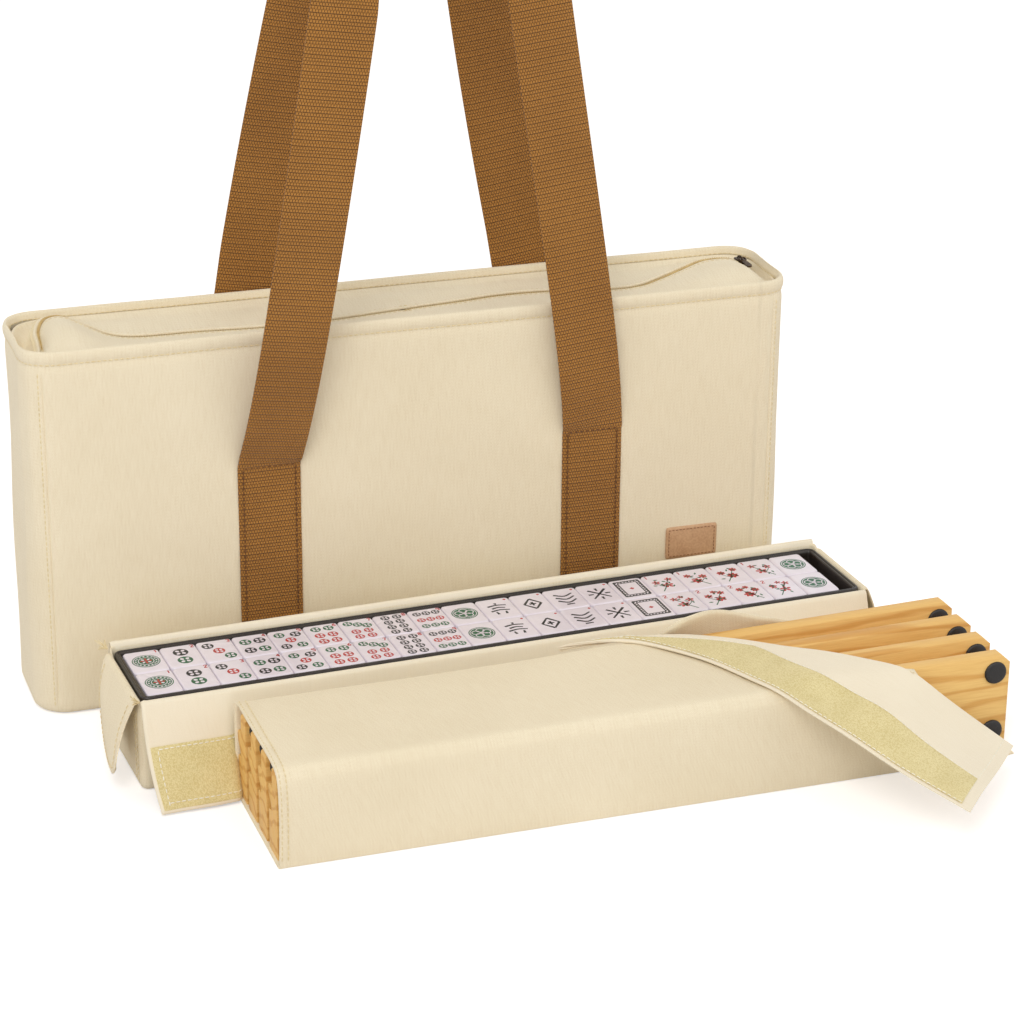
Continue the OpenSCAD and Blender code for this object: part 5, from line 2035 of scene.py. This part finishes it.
    def brush(self, kind: int) -> None:
        """One of four groups of plain brush strokes, which spell nothing.

        Args:
            kind: Which group, 0 to 3.
        """
        groups = (
            [[(-7, 5), (0, 6.4), (7, 5)], [(-5, 1), (0, 2.4), (5, 1)], [(-7, -3.4), (0, -1.8), (7, -3.4)],
             [(-3, -9), (-3.6, -5)], [(3, -9), (3.6, -5)], [(0, 10), (0, 7.6)]],
            [[(-6.4, 0), (0, 8.6)], [(0, 8.6), (6.4, 0)], [(6.4, 0), (0, -8.6)], [(0, -8.6), (-6.4, 0)],
             [(-2.6, 0), (2.6, 0)], [(0, 3), (0, -3)]],
            [[(-7, 8.4), (0, 4.6), (7, 8.4)], [(-7, 3.2), (0, -0.8), (7, 3.2)],
             [(-7, -2.2), (0, -6.4), (7, -2.2)], [(-3, -9.4), (3, -9.4)]],
            [[(-6.6, 7.4), (6.6, -7.4)], [(6.6, 7.4), (-6.6, -7.4)], [(-8.4, 0), (-4.4, 0)],
             [(4.4, 0), (8.4, 0)], [(0, 9.6), (0, 5.4)], [(0, -5.4), (0, -9.6)]])
        for line in groups[kind]:
            self.stroke([(x * 0.86, y * 0.86 - 0.8) for x, y in line], 1.7, Ink.BLACK, 0.35)

    def garden(self, kind: int, number: int) -> None:
        """A spray of blossoms and leaves in one of five layouts.

        Args:
            kind: The layout, 0 to 4.
            number: The tile's number, which mirrors it.
        """
        sway = 1.0 if (kind + number) % 2 else -1.0
        self.stroke([(-5 * sway, -11), (-1 * sway, -5), (2 * sway, 1), (5 * sway, 6)], 0.7, Ink.GREEN, 0.3)
        self.stroke([(-1 * sway, -5), (-4.5 * sway, -1), (-5.5 * sway, 4)], 0.55, Ink.GREEN, 0.3)
        spots = [(1.2 * sway, -3.0, 3.7), (-4.8 * sway, 2.4, 2.8), (4.6 * sway, 5.4, 2.6), (0.4, 7.6, 2.1)]
        for x, y, size in spots[: 2 + (kind * 3 + number) % 3]:
            self.flower(x, y, size, 5 + kind % 3)
        for j in range(7):
            a = j * 0.9 + kind + number
            self.leaf(4.5 * math.sin(a * 1.7) - 1.0 * sway, -6.5 + 2.1 * j, 3.2, a)


@dataclass
class TileRows:
    """A layer of tiles: rounded blocks with their inlaid marks."""

    name: str
    body: str
    level: int
    rows: tuple[int, ...]
    node: str
    columns: int = 20
    pitch_x: float = 22.3
    pitch_y: float = 30.3
    width: float = 22.0
    length: float = 30.0
    thick: float = 12.0
    tray_floor: float = 1.3
    gap: float = 0.15

    def block(self, profile: Sequence[tuple[float, float]], x: float, y: float,
              turn: float) -> tuple[Array, list[tuple[int, ...]]]:
        """One rounded tile.

        Args:
            profile: Pairs of inset and height, from its foot to its face.
            x: Its middle.
            y: Its middle.
            turn: Its turn seen from above, in radians.

        Returns:
            Its points and faces.
        """
        spin = np.array([[math.cos(turn), math.sin(turn)], [-math.sin(turn), math.cos(turn)]])
        rings = []
        for d, z in profile:
            far = (self.width / 2 - d, self.length / 2 - d)
            ring, _ = rounded_ring((-far[0], -far[1]), far, max(0.7, 2.4 - d * 0.6), 60, 4)
            ring = ring @ spin + [x, y]
            rings.append(level_line(ring[:, 0], ring[:, 1], z))
        n = len(rings[0])
        faces = grid_faces(len(rings), n, round_cols=True)
        faces += [tuple(range(n)), tuple((len(rings) - 1) * n + q for q in range(n))]
        return np.vstack(rings), faces

    def build(self) -> None:
        """Makes the blocks and the marks."""
        z0 = Tray.first_z + (self.level - 1) * Tray.pitch + self.tray_floor
        top = z0 + self.thick
        blocks, marks = Heap(), Heap()
        profile = [(0.9, z0), (0.25, z0 + 0.3), (0.0, z0 + 0.9), (0.0, top - 1.5), (0.14, top - 0.75),
                   (0.5, top - 0.25), (1.05, top - 0.04), (2.2, top)]
        rng = np.random.default_rng(11 + self.level)
        for row in self.rows:
            for i in range(self.columns):
                x = i * self.pitch_x + self.gap + self.width / 2
                y = row * self.pitch_y + self.gap + self.length / 2
                turn = math.radians(rng.uniform(-0.25, 0.25))
                blocks.add(self.block(profile, x, y, turn))
                TileMarks(marks, x, y, top).draw(i, 2 - row)
        body = blocks.piece(f"{self.name}_blocks", TILE, CASE, sharp=50)
        inlay = marks.piece(f"{self.name}_marks", INK_BLACK, CASE,
                            slots=(INK_GREEN, INK_RED, TILE), sharp=30)
        for piece in (body, inlay):
            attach(piece, self.body)
        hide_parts(self.node)


# --- the rack pouch ---


def section_line(cover_top: float, depth: float, radius: float, count: int = 34) -> Array:
    """The cover's section from its lower front edge over the round corner to the back of its top.

    Args:
        cover_top: Height of its top face.
        depth: Where its top ends at the back.
        radius: The radius of the front corner.
        count: Number of points.

    Returns:
        (y, z) points, evenly spaced.
    """
    a = np.radians(np.linspace(180, 90, 9))
    corner = np.column_stack([radius + radius * np.cos(a), cover_top - radius + radius * np.sin(a)])
    return resample(np.vstack([[0.1, 0.2], [0, 6], corner, [depth, cover_top]]), count)


@dataclass
class RackPouch:
    """The soft pouch round the racks, its right end peeled open."""

    length: float = 452.0
    depth: float = 91.5
    top: float = 61.4
    back_top: float = 58.2
    corner: float = 6.5
    canvas: float = 1.5
    climb: float = 0.0105
    band_width: float = 34.0
    peel_line: tuple[tuple[float, float, float], ...] = ((268, 92.5, 62), (290.5, 53.5, 62))
    crest: tuple[tuple[float, float, float], ...] = (
        (196, 96, 63.4), (228, 95.6, 65.0), (250, 93.5, 64.9), (268, 90, 64.9), (281, 84, 65.0),
        (308, 66, 65.2), (322, 53, 65.3), (343, 39, 65.5), (370, 12, 65.6), (382, 0, 64.6))
    spill: tuple[tuple[float, float, float], ...] = ((399, -8, 50), (418, -22, 35), (432, -34, 24.5))
    free_edge: tuple[tuple[float, float, float], ...] = (
        (194, 95.6, 63.4), (222, 94, 65.0), (240, 88, 64.9), (254, 73, 65.0), (272, 48, 65.3),
        (288, 11, 65.8), (296, -3, 64.5), (302, -13, 61.5), (311, -26, 57), (323, -42, 51),
        (341, -68, 40.5), (368, -105, 28))

    def cover(self) -> bpy.types.Object:
        """The front and top, cut off along the crest and slumped towards its right end.

        Returns:
            The piece.
        """
        section = section_line(self.top, self.depth - 1, self.corner)
        top_edge = np.array(self.crest)[::-1, :2]
        rows = []
        for y, z in section:
            if y > self.corner * 0.99 and z > self.top - 1:
                end = float(np.interp(y, top_edge[:, 1], top_edge[:, 0])) - 0.5
            else:
                end = float(np.interp(z, [0, 7, 41, 55, 60], [449.5, 446, 400, 388, 384]))
            us = np.concatenate([[-2.6, -1.2, 0.2, 2.4, 6.0], np.linspace(10, 250, 49),
                                 np.linspace(254, end, 42)])
            front = smooth((8 - y) / 8)
            wave = 0.55 * np.sin(us * 0.021 + z * 0.03) + 0.28 * np.sin(us * 0.065 + y * 0.05)
            lean = 7.0 * smooth((us - 330) / 110) * smooth((56 - z) / 40) * np.clip(z / 26, 0, 1) * front
            mouth = smooth((14 - us) / 16)
            soft = math.exp(-(((y - 4) / 9) ** 2)) * (z > self.top - 16) * smooth((z - self.top + 16) / 12)
            corner = 1.2 * mouth * soft
            yy = y - front * (wave * np.clip(z / 12, 0, 1) * 0.8 + lean * 0.55) + corner
            zz = z + (1 - front) * (0.35 * wave - 0.3) * smooth((us - 3) / 30) - corner
            zz = zz + 1.4 * np.exp(-(((us - 222) / 34) ** 2)) * smooth((y - 70) / 22)
            zz = zz + (self.climb * us - 1.0) * smooth((z - 30) / 28)
            inset = 0.6 * math.sin(math.pi * min(1.0, z / self.top)) if y < 2 else 0.0
            rows.append(np.column_stack([us + mouth * inset, yy, zz]))
        grid = np.array(rows)[:, ::-1]
        piece = cloth_piece("pouch_cover_cloth", grid, self.canvas, CASE_CANVAS, POUCH,
                            hem=0.4, hem_in=3.4, hem_sides="cd")
        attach(piece, "rack_pouch")
        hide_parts("pouch_cover", "pouch_apron")
        normal = grid_normals(grid)
        normal *= np.sign(normal[..., 2:] - normal[..., 1:2])
        face = grid + normal * 1.15
        runs = [(face[1:, -k], normal[1:, -k]) for k in (2, 4)]
        runs += [(face[2:24, k], normal[2:24, k]) for k in (3, 5)]
        thread = stitch_piece("pouch_cover_stitching", runs, CREAM_THREAD, POUCH, radius=0.28)
        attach(thread, "rack_pouch")
        declare_sheet(grid, [thread])
        return piece

    def tray(self) -> bpy.types.Object:
        """The base and the back wall, whose hem twists up beside the peeled flap.

        Returns:
            The piece.
        """
        us = np.concatenate([[-3, -1.5, 1.5], np.linspace(8, 240, 40), np.linspace(244, 360, 50),
                             np.linspace(366, self.length, 18)])
        rise = smooth((us - 252) / 22) * (1 - smooth((us - 284) / 76))
        fall = smooth((us - 335) / 60)
        line = [(0.2, 0.9), *[(y, 0.75) for y in (0.8, 12, 45, 80)], (90.5, 0.8), (94, 1.5), (94.6, 4)]
        line += [(94.8, z) for z in np.linspace(9, 50, 12)] + [(94.8, 54), (94.7, 56), (94.6, self.back_top)]
        rows = []
        for y, z in line:
            lift = smooth((z - 40) / 18) * rise
            wave = 0.5 * np.sin(us * 0.02 + z * 0.05) * np.clip(z / 20, 0, 1)
            yy = y + wave + lift * (-6 + 5 * np.sin((us - 282) * 0.07))
            yy = yy + 13 * smooth((us - 60) / 390) * smooth((z - 1) / 9)
            top = z * (1 - 0.3 * fall) + 15 * lift + 0.5 * np.sin(us * 0.028) * smooth((z - 30) / 28)
            rows.append(np.column_stack([us, yy, top]))
        grid = np.array(rows)
        piece = cloth_piece("rack_pouch_tray", grid, self.canvas, CASE_CANVAS, POUCH,
                            hem=0.55, hem_in=3.5, hem_sides="abcd")
        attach(piece, "rack_pouch")
        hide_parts("pouch_base", "pouch_back_wall")
        declare_sheet(grid, [])
        self.hooks(piece)
        return piece

    def hooks(self, tray: bpy.types.Object) -> None:
        """The hook band on the back wall.

        Args:
            tray: The piece that it is sewn to.
        """
        us, wall = np.linspace(6, 446, 60), 96.3
        band = []
        for z in np.linspace(14, 44, 10):
            y = wall + 13 * smooth((us - 60) / 390) + 0.5 * np.sin(us * 0.02 + z * 0.05)
            band.append(np.column_stack([us, y, z * (1 - 0.3 * smooth((us - 335) / 60))]))
        hooks = cloth_piece("pouch_hook_band_cloth", np.array(band), 0.8, HOOKS, POUCH)
        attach(hooks, "rack_pouch")
        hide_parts("pouch_hook_band")
        declare_sheet(np.array(band))

    def flap_grid(self) -> Array:
        """The peeled flap: rows run from the free edge to the crest.

        Returns:
            Rows of points of its middle surface.
        """
        count, over_cover, before_cover = 44, 1.6, 3.2
        free = spline(self.free_edge, count)
        ridge = spline(self.crest + self.spill, count)
        rows = []
        for k in range(count):
            t = k / (count - 1)
            a, b = free[k], ridge[k]
            width = float(np.linalg.norm(b - a))
            steps = np.linspace(0, 1, 26)
            line = a + (b - a) * steps[:, None]
            sag = 2.0 * smooth((t - 0.28) / 0.25) * smooth((1.25 - t) / 0.5) * min(1, width / 60)
            line[:, 2] += ((0.9 - sag) * np.sin(math.pi * steps)
                           + 0.8 * np.sin(steps * 7 + t * 6) * smooth((t - 0.35) / 0.3))
            over = self.top + over_cover + self.climb * line[:, 0] - line[:, 2]
            ahead = line[:, 1] + before_cover
            inside = (over > 0) & (ahead > 0)
            line[:, 2] += np.where(inside & (over < ahead), over, 0)
            line[:, 1] -= np.where(inside & (over >= ahead), ahead, 0)
            rows.append(line)
        grid = np.array(rows)
        for _ in range(3):
            grid[1:-1] = (grid[:-2] + 2 * grid[1:-1] + grid[2:]) / 4
            grid[:, 1:-1] = (grid[:, :-2] + 2 * grid[:, 1:-1] + grid[:, 2:]) / 4
        return grid

    def flap(self) -> bpy.types.Object:
        """The peeled flap with its lining up, its hems and its loop band.

        Returns:
            The piece.
        """
        grid = self.flap_grid()
        piece = cloth_piece("pouch_flap_cloth", grid, 1.1, LINING, POUCH,
                            hem=0.5, hem_in=2.6, hem_sides="bc")
        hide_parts("pouch_flap")
        normal = grid_normals(grid)
        normal *= np.sign(normal[..., 2:])
        band_grid = self.band_grid(grid, normal)
        band = cloth_piece("pouch_flap_loop_band", band_grid, 0.8, LOOPS, POUCH,
                           hem=0.1, hem_in=1.5, hem_sides="cd")
        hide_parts("pouch_loop_band")
        declare_sheet(band_grid)
        band_normal = grid_normals(band_grid)
        band_normal *= np.sign(band_normal[..., 2:])
        lifted = band_grid + band_normal * 0.55
        face = grid + normal * 0.6
        runs = [(lifted[:, 0], band_normal[:, 0]), (lifted[:, -1], band_normal[:, -1]),
                (face[-2, 2:], normal[-2, 2:])]
        thread = stitch_piece("pouch_flap_stitching", runs, WHITE_THREAD, POUCH, radius=0.28)
        for part in (piece, band, thread):
            Joint.PEEL.bend(part, *(POUCH(p) for p in self.peel_line))
        declare_sheet(grid,
                      [band, thread, self.fold()])
        return piece

    def band_grid(self, grid: Array, normal: Array) -> Array:
        """The loop band's middle surface, on the flap beside its free edge.

        Args:
            grid: The flap's middle surface.
            normal: Its upward normals.

        Returns:
            Rows of points along the flap's own rows, as wide as the band is when cut square.
        """
        strips, edge, reach = [], unit(np.gradient(grid[:, 0], axis=0)), 20.0
        for k in range(len(grid)):
            line = grid[k] + normal[k] * 0.95
            along = run_length(line)
            slant = float(np.linalg.norm(np.cross(unit(line[3] - line[0]), edge[k])))
            reach = min(self.band_width / max(slant, 0.5), along[-1] - 4.0, reach + 3.0)
            at = np.linspace(2.6, max(reach, 6.0), 12)
            strips.append(np.column_stack([np.interp(at, along, line[:, q]) for q in range(3)]))
        return np.array(strips)[3:-1]

    def fold(self) -> bpy.types.Object:
        """The rolled bend along the crest, between the cover's top and the flap over it.

        Returns:
            The piece.
        """
        line = spline(self.crest, 40)
        ahead = unit(np.gradient(line, axis=0))
        out = np.column_stack([-ahead[:, 1], ahead[:, 0], np.zeros(len(line))])
        out *= np.sign(out[:, :1])
        base = line - out * 0.6 - [0, 0, 0.75]
        wide, high = 1.1, np.array([0, 0, 0.62])
        grid = np.array([base + out * wide * math.cos(a) + high * math.sin(a)
                         for a in np.radians(np.linspace(90, -90, 11))])
        piece = cloth_piece("pouch_fold_roll", grid, 1.0, CASE_CANVAS, POUCH)
        Joint.PEEL.bend(piece, POUCH([330, 40, 63.2]), POUCH([330, 40, 64.2]))
        return piece

    def build(self) -> None:
        """Makes the pouch."""
        self.tray()
        self.cover()
        self.flap()


@dataclass
class Rack:
    """A solid pine rack in the pouch: number 4 stands at the front and number 1 at the back."""

    number: int
    length: float = 451.0
    thick: float = 18.4
    height: float = 58.2
    start: float = -1.6
    floor: float = 2.1
    pitch: float = 23.2
    bevel: float = 5.0
    spread: float = 2.4
    sink: float = 1.0
    rise: float = 3.5
    count: int = 4
    front_y: float = 6.1
    foot_in: float = 9.5

    def section(self) -> Array:
        """The section's corners, each eased by a small round.

        Returns:
            Points across and up the rack, in order.
        """
        t, h = self.thick, self.height
        groove = [[t, 0.42 * h], [16.6, 0.44 * h], [12.5, 0.44 * h], [13.5, 0.52 * h], [t, 0.6 * h]]
        raw = np.array([[0, 0], [t, 0], *groove, [t, 0.7 * h], [10, 0.7 * h], [10, h], [0, h]])
        points, r = [], 0.9
        for k, p in enumerate(raw):
            before, after = unit(raw[k - 1] - p), unit(raw[(k + 1) % len(raw)] - p)
            for w in (0, 0.5, 1):
                points.append(p + before * r * (1 - w) ** 1.6 + after * r * w**1.6)
        return np.array(points)

    def build(self) -> None:
        """Makes the timber and its four feet."""
        y0 = self.front_y + (self.count - self.number) * self.pitch
        fan = self.spread * (self.count + 1 - self.number) / self.length
        tilt = (self.rise + 0.5 * (self.count - self.number)) / self.length

        def stand(x: Array | float, y: Array | float, z: Array | float) -> Array:
            """Points along, across and up the rack, where it stands in the pouch."""
            return level_line(x + self.start, y + y0 + fan * x, z + self.floor - self.sink + tilt * x)

        section = self.section()
        centre = np.array([self.thick * 0.42, self.height / 2])
        stations = [(0, 0.7), (0.25, 0.25), (0.8, 0), (self.bevel + 0.6, 0)]
        stations += [(self.length - x, ease) for x, ease in stations[::-1]]
        rings = []
        for x, ease in stations:
            at = section - unit(section - centre) * ease
            limit = self.height - max(0.0, self.bevel - min(x, self.length - x))
            rings.append(stand(x, at[:, 0], np.clip(at[:, 1], 0, limit)))
        points = np.vstack(rings)
        n = len(section)
        faces = grid_faces(len(rings), n, round_cols=True)
        faces += [tuple(range(n)), tuple((len(rings) - 1) * n + q for q in range(n))]
        ys, zs = points[:, 1] - y0, points[:, 2]
        upright = np.abs(np.tile(section[:, 0], len(rings)) - self.thick / 2) > 8
        uv = np.column_stack([points[:, 0], np.where(upright, zs, ys)]) * MM
        timber = mesh_piece(f"rack_{self.number}_timber", points, faces, PINE, POUCH, uv, sharp=40)
        feet = Heap()
        dome = [(0, 7.0), (0.5, 7.05), (1.2, 6.8), (1.6, 6.0), (1.8, 4.0), (1.85, 1.6), (1.85, 0.01)]
        for u in (self.foot_in, self.length - self.foot_in):
            for z in (9.2, 47.6):
                feet.add(lathe(dome, stand(u, 0.05, z)[0], (0, -1, 0), 28))
        rubber = feet.piece(f"rack_{self.number}_rubber_feet", RUBBER, POUCH, sharp=50)
        for piece, slot in ((timber, "wood"), (rubber, "rubber")):
            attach(piece, f"rack_{self.number}_body")
        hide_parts(f"rack_{self.number}")
        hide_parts(f"rack_{self.number}_feet")


def main() -> None:
    """Builds the studio and every sub-assembly in order, and reports each piece."""
    logging.basicConfig(level=logging.INFO, format="%(message)s")
    Studio().build()
    parts = [
        ToteShell(),
        ZipClosure(),
        Handle("front_handle", -1, half=68.0, lean=20.0, turn=18.0, rolls=(25.0, 17.0),
               joint=Joint.FRONT_HANDLE),
        Handle("back_handle", 1, half=57.0, lean=34.0, turn=12.0, rolls=(14.0, 14.0),
               joint=Joint.BACK_HANDLE, shift=1.0),
        Patch(),
        TileCase(),
        *[Tray(k, b) for k, b in enumerate(("first_tray", "second_tray", "third_tray", "top_tray"), 1)],
        TileRows("first_tiles", "first_tray", 1, (0, 1), "tiles_1"),
        TileRows("second_tiles", "second_tray", 2, (0, 1), "tiles_2"),
        TileRows("third_tiles", "third_tray", 3, (0, 1), "tiles_3"),
        TileRows("front_tiles", "front_tiles", 4, (0,), "tiles_front_row"),
        TileRows("back_tiles", "back_tiles", 4, (1,), "tiles_back_row"),
        RackPouch(),
        *[Rack(k) for k in range(1, 5)],
    ]
    for part in parts:
        before = set(bpy.data.objects)
        part.build()
        for piece in sorted(set(bpy.data.objects) - before, key=lambda o: o.name):
            LOG.info("%s: %s, %d faces", type(part).__name__, piece.name, len(piece.data.polygons))
    for node in frame["nodes"].values():
        if not node.hide_render and not node.data.materials:
            node.data.materials.append(CANVAS.material())


if __name__ == "__main__":
    main()
